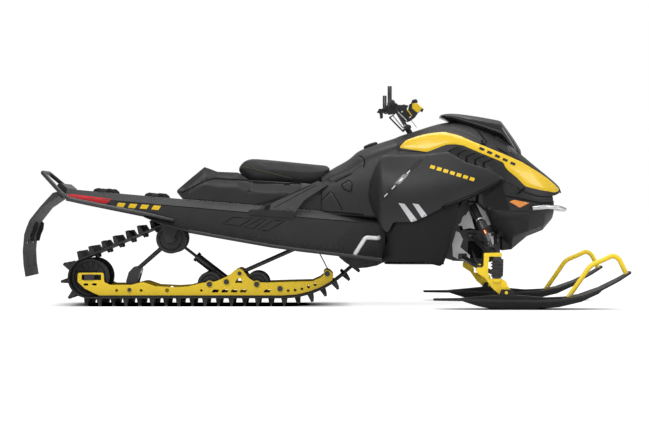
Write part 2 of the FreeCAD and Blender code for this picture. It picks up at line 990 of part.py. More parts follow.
stripe_outline = [
    (413, 834),
    (413, 845),
    (450, 881),
    (539, 907),
    (635, 918),
    (746, 892),
    (908, 833),
    (1056, 766),
    (1160, 707),
    (1249, 626),
    (1237, 602),
    (1093, 628),
    (1034, 678),
    (990, 722),
    (960, 763),
    (835, 811),
    (739, 851),
    (657, 858),
    (605, 840),
    (558, 816),
]


def make_hood_trims():
    """Coloured mouldings along both flanks of the hood."""
    skin = hood_solid(trim).cut(hood_solid(fit_gap))
    return pair(largest(skin.common(plate(stripe_outline, 40.0, 400.0, 6.0))))


def make_louvres():
    """Five slanted vent blades under each moulding."""
    cutters = [hood_solid(fit_gap), side_panel()]
    solids = []
    for i in range(5):
        x = 690.0 + i * 56.0
        z = 846.0 - i * 21.0
        outline = [(x, z), (x + 40, z - 8), (x + 24, z - 50), (x - 12, z - 40)]
        blade = plate(outline, 250.0, 288.0 + i, 4.0)
        solids += pair(largest(blade.cut(cutters))).Solids
    return Part.makeCompound(solids)


windshield_stations = [
    (640, 1024, 944, 66, 110),
    (681, 1031, 930, 120, 172),
    (832, 1011, 900, 128, 190),
    (953, 988, 826, 118, 192),
    (1033, 887, 766, 104, 170),
    (1066, 842, 740, 80, 140),
]


def windshield_solid(inset):
    sections = []
    for x, high, low, top_half, side_half in windshield_stations:
        if inset and x == windshield_stations[0][0]:
            x -= 1.0
        if inset and x == windshield_stations[-1][0]:
            x += 1.0
        left = [(top_half - inset, high - inset), (side_half - inset, low - 2 * inset)]
        sections.append((x, both_sides(left)))
    return loft(sections)


def make_windshield():
    """Low wrap-round deflector over the front of the hood."""
    shell = windshield_solid(0.0).cut(windshield_solid(panel))
    return largest(shell.cut(hood_solid(fit_gap)))


side_stations = [
    (235, [(224, 800), (236, 700), (248, 590), (246, 400)]),
    (300, [(228, 806), (284, 700), (304, 590), (292, 400)]),
    (380, [(232, 812), (318, 700), (346, 590), (330, 400)]),
    (520, [(252, 818), (336, 695), (362, 580), (350, 400)]),
    (660, [(262, 820), (344, 695), (362, 600), (346, 430)]),
    (800, [(270, 800), (334, 696), (346, 640), (336, 500)]),
    (945, [(276, 760), (306, 690), (314, 664), (306, 620)]),
]

side_crease = [(314, 466), (372, 451), (460, 448), (504, 459), (621, 517), (753, 583)]


def side_skin(stations, thickness):
    """A bent sheet between stations, of an even thickness across the machine."""
    built = []
    for x, points in stations:
        inner = [(y - thickness, z) for y, z in reversed(points)]
        built.append((x, points + inner))
    return loft(built)


def side_panel():
    """Left upper side panel."""
    outline = [
        (935, 676),
        (869, 727),
        (753, 763),
        (672, 808),
        (570, 798),
        (430, 793),
        (336, 789),
        (263, 683),
        (245, 595),
        (263, 537),
    ]
    outline += side_crease + [(935, 663)]
    skin = side_skin(side_stations, panel).common(plate(outline, 150, 420, 8.0))
    return largest(skin.cut([hood_solid(fit_gap), console_solid(fit_gap)]))


def make_side_panels():
    return pair(side_panel())


lower_rear_y = flank_y + 2 * panel + fit_gap

lower_stations = [
    (lower_rear_x, [(lower_rear_y, 620), (lower_rear_y, 460), (lower_rear_y, 380), (lower_rear_y, 206)]),
    (400, [(322, 620), (326, 456), (312, 380), (276, 206)]),
    (560, [(330, 620), (342, 470), (326, 380), (288, 206)]),
    (640, [(326, 640), (336, 500), (322, 400), (286, 206)]),
    (770, [(316, 660), (322, 560), (308, 440), (280, 206)]),
]


def lower_panel():
    """Left side panel below the crease, down to the belly."""
    crease = [(x, z - fit_gap) for x, z in side_crease]
    outline = crease + [
        (722, 430),
        (645, 276),
        (623, 220),
        (560, pan_z),
        (lower_rear_x, pan_z),
        (lower_rear_x, 464),
    ]
    skin = side_skin(lower_stations, panel)
    return largest(skin.common(plate(outline, 150, 420)))


def make_lower_panels():
    return pair(lower_panel())


def foot_well_wall():
    """Left wall beside the drive: stepped rear edge, rounded belly below the footboard."""
    steps = 4
    low, high = (84.0, 346.0), (196.0, 446.0)
    run = (high[0] - low[0]) / steps
    rise = (high[1] - low[1]) / steps
    rear_edge = []
    for i in range(steps):
        rear_edge.append((low[0] + i * run, low[1] + i * rise))
        rear_edge.append((low[0] + i * run, low[1] + (i + 1) * rise))
    outline = rear_edge + [
        (300, 428),
        (well_front_x, 386),
        (330, 236),
        (290, 216),
        (234, 205),
        (173, 201),
        (124, 232),
        (90, 260),
        (84, 300),
    ]
    return plate(outline, flank_y, flank_y + panel, 8.0)


def make_foot_wells():
    return pair(foot_well_wall())


def between_lower_panels():
    """The space between the left and right lower panels, less the running gap."""
    sections = []
    for x, points in lower_stations:
        left = [(y - panel - fit_gap, z) for y, z in points]
        sections.append((x, both_sides(left)))
    return loft(sections)


def make_belly_pan():
    """Shallow tray that closes the engine bay from below."""
    thick = 6.0
    rear = well_front_x + fit_gap
    front = pan_front_x - fit_gap
    outline = [
        (rear, pan_z),
        (front, pan_z),
        (front, pan_z + 40),
        (front - thick, pan_z + 40),
        (front - thick, pan_z + thick),
        (rear + thick, pan_z + thick),
        (rear + thick, pan_z + 44),
        (rear, pan_z + 44),
    ]
    return plate(outline, -330, 330).common(between_lower_panels())


def make_engine():
    """The engine as one plain block at its real place."""
    low = pan_z + 6.0 + fit_gap
    return plate([(395, low), (610, low), (610, 660), (395, 660)], -190.0, 190.0)


nose_stations = [
    (1010, [(0, 700), (150, 700), (262, 690), (276, 518), (268, 494), (216, 372), (120, 300), (0, 300)]),
    (1095, [(0, 640), (150, 640), (250, 630), (254, 514), (246, 494), (196, 398), (100, 369), (0, 369)]),
    (1180, [(0, 610), (120, 610), (212, 600), (214, 512), (206, 494), (160, 430), (80, 402), (0, 402)]),
    (1230, [(0, 590), (90, 590), (168, 580), (170, 512), (160, 496), (110, 470), (50, 456), (0, 456)]),
]
wing_stations = [
    (820, [(150, 640), (292, 640), (296, 600), (286, 540), (210, 520), (150, 520)]),
    (920, [(150, 690), (286, 690), (290, 540), (282, 496), (222, 420), (150, 390)]),
    (1010, [(150, 700), (262, 690), (276, 518), (268, 494), (216, 372), (150, 320)]),
]


def make_nose():
    """Lower nose between the hood and the chin, hollow over the suspension."""
    body = loft([(x, both_sides(points)) for x, points in nose_stations])
    bay = plate(
        [(700, 700), (794, 566), (860, 520), (892, 446), (930, 320), (966, 280), (700, 200)], 60.0, 400.0
    )
    wing = loft(wing_stations).cut(bay)
    chin = plate([(962, 294), (1011, 300), (1011, 420), (955, 400)], -130.0, 130.0)
    cavity = plate([(1004, 680), (1170, 590), (1150, 470), (1080, 420), (1004, 400)], -140.0, 140.0)
    cutters = [
        hood_solid(fit_gap),
        cavity,
        side_panel(),
        mirrored(side_panel()),
        make_front_frame(),
    ]
    for side in (-1, 1):
        arm_end = V(upper_front_x - 50.0, side * bush_y, upper_front_z)
        cutters.append(cylinder(arm_end, arm_end + V(90.0, 0, 0), bush_radius + 5.0))
    return largest(fused(body, chin, wing, mirrored(wing)).cut(cutters))


def make_headlights():
    """Slanted lamps in the hood's front corners, under the windshield."""
    outline = [(990, 846), (1014, 864), (1040, 838), (1052, 808), (1028, 790), (1000, 812)]
    lamp = plate(outline, 60.0, 330.0, 4.0)
    shell = hood_solid(7.0).cut([hood_solid(fit_gap), windshield_solid(0.0), windshield_solid(-0.3)])
    return pair(largest(lamp.common(shell)))


def make_markers():
    """Amber side reflectors let into the nose."""
    outline = [(981, 549), (1006, 561), (1094, 545), (1040, 521)]
    return pair(largest(plate(outline, 240.0, 282.0).cut(make_nose())))


def make_front_bumper():
    """Polished loop round the nose."""
    side = [(1104, 258, 518), (1186, 234, 526), (1258, 188, 522), (1298, 90, 512)]
    path = side + [(x, -y, z) for x, y, z in reversed(side)]
    return largest(pipe(path, 11.0, 30.0).cut(make_nose()))


def make_front_frame():
    """Cast bulkhead that carries the suspension and, on tubes, the steering post."""
    inner = frame_half - frame_wall
    outline = [
        (pan_front_x, 262),
        (pan_front_x + 60, 238),
        (900, 232),
        (950, 262),
        (946, 400),
        (905, 470),
        (crown_x + 21, 590),
        (crown_x - 21, 590),
        (700, 470),
        (pan_front_x, 400),
    ]
    wall = plate(outline, inner, frame_half, 14.0)
    windows = [
        plate([(778, 254), (852, 252), (866, 342), (778, 346)], inner - 1, frame_half + 1, 10.0),
        plate([(716, 402), (862, 402), (880, 424), (796, 470)], inner - 1, frame_half + 1, 10.0),
        plate([(888, 296), (920, 300), (914, 360), (892, 364)], inner - 1, frame_half + 1, 8.0),
    ]
    wall = wall.cut(windows)
    floor_outline = [
        (pan_front_x, 256),
        (704, 238),
        (900, 234),
        (944, 258),
        (944, 268),
        (900, 244),
        (704, 250),
        (pan_front_x, 268),
    ]
    floor = plate(floor_outline, -inner, inner)
    crown = plate(
        [
            (crown_x - 21, crown_low_z),
            (crown_x + 21, crown_low_z),
            (crown_x + 21, crown_low_z + 32),
            (crown_x - 21, crown_low_z + 32),
        ],
        -crown_half,
        crown_half,
        8.0,
    )
    pivot = upright(crank_x, 0, 240.0, crank_z + 24.0, 8.0)
    stays = [
        cylinder(on_post(-60) + V(0, side * 20, 0), V(crown_x, side * 100, crown_low_z + 16), 12.0)
        for side in (-1, 1)
    ]
    bearing = cylinder(on_post(-84), on_post(-36), post_radius + 12.0)
    bore = cylinder(on_post(-160), on_post(100), post_radius + fit_gap)
    return largest(fused(wall, mirrored(wall), floor, crown, pivot, bearing, *stays).cut(bore))


bush_y = frame_half + bush_radius + fit_gap
upper_front_x = 922.0
upper_front_z = 386.0
upper_ball = V(kingpin_x, kingpin_y, 242.0)
lower_ball = V(kingpin_x, kingpin_y, 174.0)


def a_arm(outer, rear_inner, front_inner):
    """Two tubes from the bushes on the bulkhead to the knuckle."""
    tubes = [cylinder(inner, outer, arm_tube) for inner in (rear_inner, front_inner)]
    bushes = [
        Part.makeCylinder(bush_radius, 44.0, inner - V(22, 0, 0), V(1, 0, 0))
        for inner in (rear_inner, front_inner)
    ]
    room = upright(kingpin_x, kingpin_y, knuckle_low_z - 60, knuckle_high_z + 60, knuckle_radius)
    return largest(fused(*tubes, *bushes).cut(room))


shock_low = V(884.0, 352.0, 318.0)
shock_eye = 13.0
shock_high = V(crown_x, 226.0, crown_low_z - shock_eye - fit_gap)
shock_pin = 6.0


def make_upper_arms():
    """Upper arms, each with the clevis that holds the foot of its shock."""
    arm = a_arm(upper_ball, V(800, bush_y, 372), V(upper_front_x, bush_y, upper_front_z))
    ears = [
        Part.makeBox(6.0, 30.0, 66.0, shock_low + V(offset, -15.0, -52.0))
        for offset in (-21.0 - fit_gap, 15.0 + fit_gap)
    ]
    pin = Part.makeCylinder(shock_pin, 44.0, shock_low - V(22, 0, 0), V(1, 0, 0))
    return pair(fused(arm, *ears, pin))


def make_lower_arms():
    return pair(a_arm(lower_ball, V(748, bush_y, 262), V(926, bush_y, 262)))


def make_knuckles():
    """Ribbed kingpin housings at the ends of the arms."""
    body = upright(kingpin_x, kingpin_y, knuckle_low_z, knuckle_high_z, knuckle_radius)
    cuts = [upright(kingpin_x, kingpin_y, 50.0, 400.0, kingpin_radius + fit_gap)]
    for i in range(4):
        z = knuckle_low_z + 36.0 + i * 12.0
        groove = upright(kingpin_x, kingpin_y, z, z + 5.0, knuckle_radius + 1)
        groove = groove.cut(upright(kingpin_x, kingpin_y, z, z + 5.0, knuckle_radius - 4.0))
        front = Part.makeBox(60.0, 90.0, 20.0, V(kingpin_x + 6.0, kingpin_y - 45.0, z - 6.0))
        cuts.append(groove.common(front))
    return pair(body.cut(cuts))


def make_front_shocks():
    """Gas shocks from the bulkhead's crown to the upper arms."""
    axis = shock_high - shock_low
    body = cylinder(shock_low + axis * 0.42, shock_low + axis * 0.95, 19.0)
    collar = cylinder(shock_low + axis * 0.40, shock_low + axis * 0.56, 25.0)
    rod = cylinder(shock_low, shock_low + axis * 0.45, 9.0)
    eyes = [
        Part.makeCylinder(shock_eye, 30.0, point - V(15, 0, 0), V(1, 0, 0))
        for point in (shock_low, shock_high)
    ]
    bore = Part.makeCylinder(shock_pin + fit_gap, 60.0, shock_low - V(30, 0, 0), V(1, 0, 0))
    return pair(fused(body, collar, rod, *eyes).cut(bore))


def make_spindle():
    """C-shaped spindle: it holds the kingpin top and bottom and ends in the ski foot."""
    jaw_top = knuckle_high_z + jaw_gap
    jaw_bottom = knuckle_low_z - jaw_gap
    arm_end = kingpin_x - steer_arm
    outline = [
        (834, 288),
        (918, 290),
        (918, jaw_top + 1),
        (866, jaw_top + 1),
        (856, 240),
        (854, 190),
        (866, jaw_bottom - 1),
        (926, jaw_bottom - 1),
        (948, 142),
        (956, 118),
        (976, 92),
        (962, 66),
        (925, 66),
        (874, 109),
        (839, 160),
        (arm_end - 16, 188),
        (arm_end - 16, steer_arm_top),
        (832, steer_arm_top + 6),
    ]
    web = plate(outline, kingpin_y - web_half, kingpin_y + web_half, 6.0)
    room = upright(kingpin_x, kingpin_y, jaw_bottom, jaw_top, knuckle_radius + 18.0)
    above_arm = Part.makeBox(48.0, 80.0, 60.0, V(arm_end - 32, kingpin_y - 40, steer_arm_top))
    foot_outline = [(922, 66), (962, 66), (976, 92), (956, 118), (922, 118)]
    parts = [
        upright(kingpin_x, kingpin_y, jaw_top, jaw_top + jaw_height, jaw_radius),
        upright(kingpin_x, kingpin_y, jaw_bottom - jaw_height, jaw_bottom, jaw_radius),
        upright(kingpin_x, kingpin_y, jaw_bottom - 4, jaw_top + 4, kingpin_radius),
        upright(arm_end, kingpin_y, 190.0, steer_arm_top + eye_height + 6, crank_pin),
        plate(foot_outline, ski_y - foot_half, ski_y + foot_half),
        shaft((ski_bolt_x, ski_bolt_z), ski_y - 40.0, ski_y + 40.0, ski_bolt_radius),
    ]
    return fused(web.cut([room, above_arm]), *parts)


ski_line = [
    (574, 44),
    (720, 44),
    (900, 42),
    (1100, 38),
    (1220, 44),
    (1330, 64),
    (1430, 100),
    (1520, 146),
    (half_length, 184),
]


def make_ski():
    """Moulded ski: a thin upswept sole, a raised spine and a deep keel below."""
    upper = [(x, z + 11) for x, z in reversed(ski_line)]
    sole = plate(ski_line + upper, ski_y - ski_half, ski_y + ski_half)
    plan_right = [
        (574, -22),
        (700, -0.72 * ski_half),
        (880, -ski_half),
        (1380, -ski_half),
        (1500, -0.8 * ski_half),
        (half_length, -40),
    ]
    plan_points = plan_right + [(x, -y) for x, y in reversed(plan_right)]
    plan = slab([(x, ski_y + y) for x, y in plan_points], -10, 400)
    keel_outline = [
        (700, 48),
        (800, 16),
        (868, 2),
        (980, 0),
        (1100, 0),
        (1220, 12),
        (1330, 38),
        (1420, 80),
        (1460, 120),
        (1330, 70),
        (1100, 46),
        (900, 50),
    ]
    keel = plate(keel_outline, ski_y - 26, ski_y + 26)
    spine_half = 36.0
    spine_outline = [
        (640, 50),
        (820, 66),
        (900, 74),
        (1010, 72),
        (1150, 60),
        (1300, 66),
        (1300, 56),
        (1100, 44),
        (900, 48),
        (700, 50),
    ]
    spine = plate(spine_outline, ski_y - spine_half, ski_y + spine_half)
    ears = plate([(902, 60), (990, 60), (976, 102), (920, 102)], ski_y - spine_half, ski_y + spine_half)
    inner = min(ski_y - foot_half, kingpin_y - web_half) - 3.0
    outer = ski_y + foot_half + 3.0
    slot = Part.makeBox(112.0, outer - inner, 60.0, V(892, inner, ski_bolt_z - 25.0))
    bolt = shaft((ski_bolt_x, ski_bolt_z), ski_y - 45.0, ski_y + 45.0, ski_bolt_radius + fit_gap)
    return fused(sole.common(plan), keel, spine, ears).cut([slot, bolt])


def make_ski_loop():
    """Bent handle from the middle of the ski to its tip."""
    path = [
        (1262, ski_y, 56),
        (1304, ski_y, 104),
        (1354, ski_y, 164),
        (1396, ski_y, 226),
        (1440, ski_y, 250),
        (1495, ski_y, 270),
        (1520, ski_y, 256),
        (1546, ski_y, 218),
        (1568, ski_y, 172),
    ]
    return largest(pipe(path, 9.5, 24.0).cut(make_ski()))


def make_tie_rod(inner_z, rise):
    """Steering link from the left spindle's arm up to the pin of the crank."""
    outer = V(kingpin_x - steer_arm, kingpin_y, steer_arm_top + fit_gap)
    inner = V(crank_x - steer_arm, 0, inner_z)
    lift = V(0, 0, eye_height / 2)
    along = inner - outer
    along.normalize()
    rod = cylinder(outer + lift + along * 9, inner + lift + V(0, 0, rise) - along * 9, 6.0)
    eyes = [upright(p.x, p.y, p.z, p.z + eye_height, eye_radius) for p in (outer, inner)]
    bores = [upright(p.x, p.y, p.z - 30, p.z + 60, crank_pin + fit_gap) for p in (outer, inner)]
    return fused(rod, *eyes).cut(bores)


crank_low = crank_z - crank_thickness / 2
crank_high = crank_z + crank_thickness / 2


def make_crank():
    """Centre arm of the steering, from the bulkhead's pivot back to the rods' pin."""
    half = 16.0
    pin_half = 12.0
    pin_x = crank_x - steer_arm
    outline = [(pin_x, -pin_half), (crank_x, -half), (crank_x, half), (pin_x, pin_half)]
    reach = eye_height + fit_gap + 5.0
    pieces = [
        upright(crank_x, 0, crank_low - 10, crank_high + 6, 18.0),
        upright(pin_x, 0, crank_low, crank_high, pin_half),
        upright(pin_x, 0, crank_low - reach, crank_high + reach, crank_pin),
    ]
    bore = upright(crank_x, 0, crank_low - 40, crank_high + 40, 8.0 + fit_gap)
    return fused(slab(outline, crank_low, crank_high), *pieces).cut(bore)


def steering_room():
    """Room round the steering post where it leaves the body."""
    return cylinder(on_post(-160), on_post(160), post_radius + 12.0)


def post_block(distance, half_depth, half_height, half_width):
    """A block across the post at a distance along it, square to its axis."""
    centre = on_post(distance)
    across = V(math.cos(post_lean), 0, math.sin(post_lean))
    corners = [
        centre + across * (a * half_depth) + post_axis * (b * half_height)
        for a, b in ((-1, -1), (1, -1), (1, 1), (-1, 1))
    ]
    return plate([(p.x, p.z) for p in corners], -half_width, half_width, 4.0)


def make_steering_post():
    """Tall riser post with a two-legged upper fork."""
    post = cylinder(on_post(-110), on_post(90), post_radius)
    legs = [
        cylinder(on_post(80) + V(0, y, 0), on_post(bar_rise - 16) + V(0, y, 0), 9.0)
        for y in (-26.0, 26.0)
    ]
    yoke = post_block(84.0, 14.0, 10.0, 38.0)
    head = post_block(bar_rise - 8.0, 20.0, 16.0, 44.0)
    seat = shaft((bar_centre.x, bar_centre.z), -60, 60, bar_radius + fit_gap)
    return fused(post, *legs, yoke, head).cut(seat)


bar_centre = on_post(bar_rise)
grip_start = bar_centre + V(-14.0, 190.0, 12.0)
grip_end = bar_centre + V(-38.0, bar_half, -10.0)
hook_axis = V(0, math.sin(hook_lean), math.cos(hook_lean))
hook_top = grip_end + hook_axis * hook_length


def on_grip(share):
    return grip_start + (grip_end - grip_start) * share


def make_handlebar():
    """Bent bar with upturned hook ends, bored at both ends."""
    path = [
        tuple(bar_centre),
        tuple(bar_centre + V(0, 90.0, 0)),
        tuple(grip_start),
        tuple(grip_end),
        tuple(hook_top),
    ]
    bore = cylinder(hook_top - hook_axis * bar_end_depth, hook_top + hook_axis, bar_end_bore)
    half = pipe(path, bar_radius, 28.0).cut(bore)
    return fused(half, mirrored(half))


def make_grips():
    sleeve = cylinder(on_grip(0.26), on_grip(0.82), grip_radius)
    return pair(sleeve.cut(cylinder(on_grip(0.1), on_grip(1.0), bar_radius + fit_gap)))


def make_hand_controls():
    """Lever perches with their levers, and the padded pod in the middle of the bar."""
    x = bar_centre.x
    z = bar_centre.z
    perch = plate([(x - 46, z - 24), (x + 20, z - 20), (x + 26, z + 26), (x - 36, z + 34)], 206.0, 230.0, 6.0)
    lever = pipe([(x - 30, 214, z - 14), (x - 72, 250, z - 26), (x - 92, 320, z - 40)], 6.0, 16.0)
    bar_cut = cylinder(on_grip(-0.2), on_grip(0.5), bar_radius + fit_gap)
    left = fused(perch, lever).cut(bar_cut)
    pod = plate([(x + 40, z - 14), (x + 118, z + 4), (x + 124, z + 38), (x + 44, z + 42)], -42.0, 42.0, 8.0)
    bracket = plate([(x - 4, z + 8), (x + 50, z - 2), (x + 50, z + 26), (x - 4, z + 26)], -30.0, 30.0)
    bar_room = shaft((x, z), -60, 60, bar_radius + fit_gap)
    middle = largest(fused(pod, bracket).cut([bar_room, make_steering_post()]))
    return Part.makeCompound(pair(left).Solids + [middle])


nodes = {
    "track": make_track,
    "rear_wheels": make_rear_wheels,
    "bogie_wheels": make_bogie_wheels,
    "skid_rails": make_rails,
    "slide_shoes": make_shoes,
    "skid_shafts": make_skid_shafts,
    "rear_axle": make_rear_axle,
    "front_skid_arm": make_front_arm,
    "rear_skid_arm": make_rear_arm,
    "skid_shocks": make_skid_shock,
    "limiter_straps": make_limiter_straps,
    "drive_axle": make_drive_axle,
    "tunnel": make_tunnel,
    "running_boards": make_running_boards,
    "toe_holds": make_toe_holds,
    "rear_bumper": make_rear_bumper,
    "snow_flap": make_snow_flap,
    "tail_light": make_tail_light,
    "cargo_anchors": make_anchors,
    "seat_base": make_seat_base,
    "seat_cushion": make_seat,
    "seat_struts": make_seat_struts,
    "console": make_console,
    "hood": make_hood,
    "hood_trims": make_hood_trims,
    "hood_louvres": make_louvres,
    "windshield": make_windshield,
    "side_panels": make_side_panels,
    "lower_panels": make_lower_panels,
    "foot_wells": make_foot_wells,
    "belly_pan": make_belly_pan,
    "nose": make_nose,
    "headlights": make_headlights,
    "side_markers": make_markers,
    "front_bumper": make_front_bumper,
    "front_frame": make_front_frame,
    "engine_block": make_engine,
    "upper_arms": make_upper_arms,
    "lower_arms": make_lower_arms,
    "knuckles": make_knuckles,
    "front_shocks": make_front_shocks,
    "steering_post": make_steering_post,
    "handlebar": make_handlebar,
    "grips": make_grips,
    "hand_controls": make_hand_controls,
    "steering_crank": make_crank,
    "spindle_left": make_spindle,
    "spindle_right": lambda: mirrored(make_spindle()),
    "ski_left": make_ski,
    "ski_right": lambda: mirrored(make_ski()),
    "ski_loop_left": make_ski_loop,
    "ski_loop_right": lambda: mirrored(make_ski_loop()),
    "tie_rod_left": lambda: make_tie_rod(crank_high + fit_gap, 4.0),
    "tie_rod_right": lambda: mirrored(make_tie_rod(crank_low - fit_gap - eye_height, 0.0)),
}

os.makedirs("parts", exist_ok=True)
for name, make in nodes.items():
    shape = make()
    shape.exportStep("parts/" + name + ".step")
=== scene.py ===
import json
import math

import bmesh
import bpy
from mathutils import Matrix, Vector
from mathutils.bvhtree import BVHTree
from mathutils.geometry import delaunay_2d_cdt


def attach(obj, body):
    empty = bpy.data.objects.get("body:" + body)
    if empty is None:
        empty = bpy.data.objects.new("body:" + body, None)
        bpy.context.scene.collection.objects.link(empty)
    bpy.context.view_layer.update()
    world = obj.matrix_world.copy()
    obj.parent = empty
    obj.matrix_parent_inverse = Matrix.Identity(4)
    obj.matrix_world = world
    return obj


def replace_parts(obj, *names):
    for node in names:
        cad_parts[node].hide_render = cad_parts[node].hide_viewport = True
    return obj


# Looks of a mountain snowmobile. Sizes and places are millimetres in the CAD's frame,
# and become metres where a mesh is made. Outlines are (x, z) pairs seen from the side.
# Stations are (x, [(y, z), ...]), each from the machine's middle outwards.

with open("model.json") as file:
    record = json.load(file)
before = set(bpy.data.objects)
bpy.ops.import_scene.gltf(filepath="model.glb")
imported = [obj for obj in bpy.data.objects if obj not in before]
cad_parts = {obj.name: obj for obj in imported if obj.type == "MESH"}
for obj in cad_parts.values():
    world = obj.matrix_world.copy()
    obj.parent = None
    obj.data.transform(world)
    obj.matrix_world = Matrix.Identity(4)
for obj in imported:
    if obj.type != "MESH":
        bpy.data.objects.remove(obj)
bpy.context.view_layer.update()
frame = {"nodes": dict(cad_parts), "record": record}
scene = bpy.context.scene
nodes = frame["nodes"]
mm = 0.001

# Camera: level, square to the machine's right side
camera_place = Vector((14.0, -9331.0, 504.0))
camera_lens = 95.85
sensor_width = 36.0

# Driving sizes shared with the CAD
tunnel_half = 220.0
tunnel_rear_x = -1349.0
tunnel_rear_top_z = 621.0
tunnel_slope = 0.0882
ski_y = 457.0
kingpin_x = 900.0
kingpin_y = 445.0


def tunnel_top(x):
    return tunnel_rear_top_z - tunnel_slope * (x - tunnel_rear_x)


# Materials

finishes = {}


def node_of(tree, kind, **values):
    """A shader node with the given input values."""
    made = tree.nodes.new(kind)
    for key, value in values.items():
        made.inputs[key.replace("_", " ")].default_value = value
    return made


def wire(source, output, target, socket):
    target.id_data.links.new(source.outputs[output], target.inputs[socket])


def textured(mapping, kind="ShaderNodeTexNoise", **values):
    """A texture placed by a mapping node."""
    made = node_of(mapping.id_data, kind, **values)
    wire(mapping, "Vector", made, "Vector")
    return made


def spread(source, output, low, high):
    """A node whose result is the source's 0 to 1 spread from low to high."""
    made = node_of(source.id_data, "ShaderNodeMapRange", To_Min=low, To_Max=high)
    wire(source, output, made, "Value")
    return made


def colours(source, dark, light, low=0.0, high=1.0):
    """A ramp from dark to light driven by a texture."""
    made = source.id_data.nodes.new("ShaderNodeValToRGB")
    for element, place, colour in zip(made.color_ramp.elements, (low, high), (dark, light)):
        element.position = place
        element.color = (*colour, 1.0)
    wire(source, "Fac", made, "Fac")
    return made


def surface(name, dark, light, rough, metal=0.0, coat=0.0, grain=0.2, grain_scale=900.0,
            patch_scale=7.0, sheen=0.0, stretch=(1.0, 1.0, 1.0), shine=0.5):
    """A finish with drifting colour, uneven gloss and a fine relief."""
    made = bpy.data.materials.new(name)
    made.use_nodes = True
    tree = made.node_tree
    shader = tree.nodes["Principled BSDF"]
    uniform = {"Metallic": metal, "Coat Weight": coat, "Coat Roughness": 0.08, "Specular IOR Level": shine,
               "Sheen Weight": sheen}
    for key, value in uniform.items():
        shader.inputs[key].default_value = value
    mapping = node_of(tree, "ShaderNodeMapping", Scale=stretch)
    wire(tree.nodes.new("ShaderNodeTexCoord"), "Object", mapping, "Vector")
    patches = textured(mapping, Scale=patch_scale, Detail=6.0, Roughness=0.6)
    wire(colours(patches, dark, light, 0.3, 0.7), "Color", shader, "Base Color")
    gloss = textured(mapping, Scale=patch_scale * 5, Detail=4.0)
    wire(spread(gloss, "Fac", *rough), "Result", shader, "Roughness")
    relief = textured(mapping, Scale=grain_scale, Detail=3.0)
    bump = node_of(tree, "ShaderNodeBump", Strength=grain, Distance=0.0006)
    wire(relief, "Fac", bump, "Height")
    wire(bump, "Normal", shader, "Normal")
    finishes[name] = made
    return made


def fabric(name, dark, light, weave_scale):
    """Coated seat cover: a woven relief under a soft, slightly worn sheen."""
    made = surface(name, dark, light, (0.5, 0.72), grain=0.3, grain_scale=420.0, sheen=0.15, shine=0.35)
    tree = made.node_tree
    cells = textured(tree.nodes["Mapping"], "ShaderNodeTexVoronoi", Scale=weave_scale)
    woven = node_of(tree, "ShaderNodeBump", Strength=0.35, Distance=0.0008)
    wire(cells, "Distance", woven, "Height")
    wire(tree.nodes["Bump"], "Normal", woven, "Normal")
    wire(woven, "Normal", tree.nodes["Principled BSDF"], "Normal")


def rear_lens(name, housing):
    """Dark housing whose rearward faces are a red lens."""
    tree = surface(name, (0.35, 0.008, 0.01), (0.55, 0.02, 0.022), (0.15, 0.3)).node_tree
    shader = tree.nodes["Principled BSDF"]
    red = shader.inputs["Base Color"].links[0].from_node
    parts = tree.nodes.new("ShaderNodeSeparateXYZ")
    wire(tree.nodes["Texture Coordinate"], "Normal", parts, "Vector")
    facing = node_of(tree, "ShaderNodeMapRange", From_Min=-0.75, From_Max=-0.6, To_Min=1.0, To_Max=0.0)
    wire(parts, "X", facing, "Value")
    blend = tree.nodes.new("ShaderNodeMix")
    blend.data_type = "RGBA"
    blend.inputs["A"].default_value = (*housing, 1.0)
    wire(facing, "Result", blend, "Factor")
    wire(red, "Color", blend, "B")
    wire(blend, "Result", shader, "Base Color")


# Each surface has a dark and a light colour, then its lowest and highest roughness

surface("track_rubber", (0.012, 0.012, 0.013), (0.024, 0.024, 0.026), (0.6, 0.85), grain=0.5,
        grain_scale=500.0)
surface("wheel_plastic", (0.013, 0.013, 0.014), (0.024, 0.024, 0.026), (0.4, 0.6))
surface("rail_paint", (0.87, 0.6, 0.01), (0.92, 0.64, 0.014), (0.35, 0.5), coat=0.1, grain=0.08)
surface("shoe_plastic", (0.012, 0.012, 0.013), (0.02, 0.02, 0.022), (0.35, 0.55))
surface("bare_steel", (0.42, 0.42, 0.43), (0.6, 0.6, 0.62), (0.22, 0.4), metal=1.0)
surface("dark_metal", (0.012, 0.012, 0.014), (0.026, 0.026, 0.029), (0.25, 0.45), coat=0.2)
surface("tunnel_paint", (0.014, 0.014, 0.015), (0.022, 0.022, 0.024), (0.38, 0.55), grain=0.25,
        grain_scale=1400.0, shine=0.4)
surface("bare_aluminium", (0.6, 0.61, 0.63), (0.78, 0.79, 0.8), (0.2, 0.38), metal=1.0,
        stretch=(1.0, 6.0, 6.0))
surface("cast_aluminium", (0.55, 0.55, 0.56), (0.72, 0.72, 0.73), (0.35, 0.5), metal=0.3, grain=0.6,
        grain_scale=350.0)
surface("webbing", (0.02, 0.02, 0.02), (0.035, 0.035, 0.036), (0.7, 0.9), grain=0.6, grain_scale=700.0,
        stretch=(1.0, 4.0, 1.0))
fabric("seat_fabric", (0.011, 0.011, 0.012), (0.019, 0.019, 0.021), 380.0)
surface("body_plastic", (0.0095, 0.0095, 0.01), (0.015, 0.015, 0.016), (0.36, 0.52), grain=0.22,
        grain_scale=1200.0, shine=0.4)
surface("trim_yellow", (0.76, 0.5, 0.01), (0.8, 0.53, 0.013), (0.22, 0.3), coat=0.3, grain=0.03,
        patch_scale=3.0)
surface("visor_black", (0.008, 0.008, 0.009), (0.014, 0.014, 0.016), (0.12, 0.25), coat=0.5, grain=0.05)
surface("lamp_lens", (0.006, 0.006, 0.007), (0.02, 0.021, 0.023), (0.12, 0.24), coat=0.5, grain=0.02)
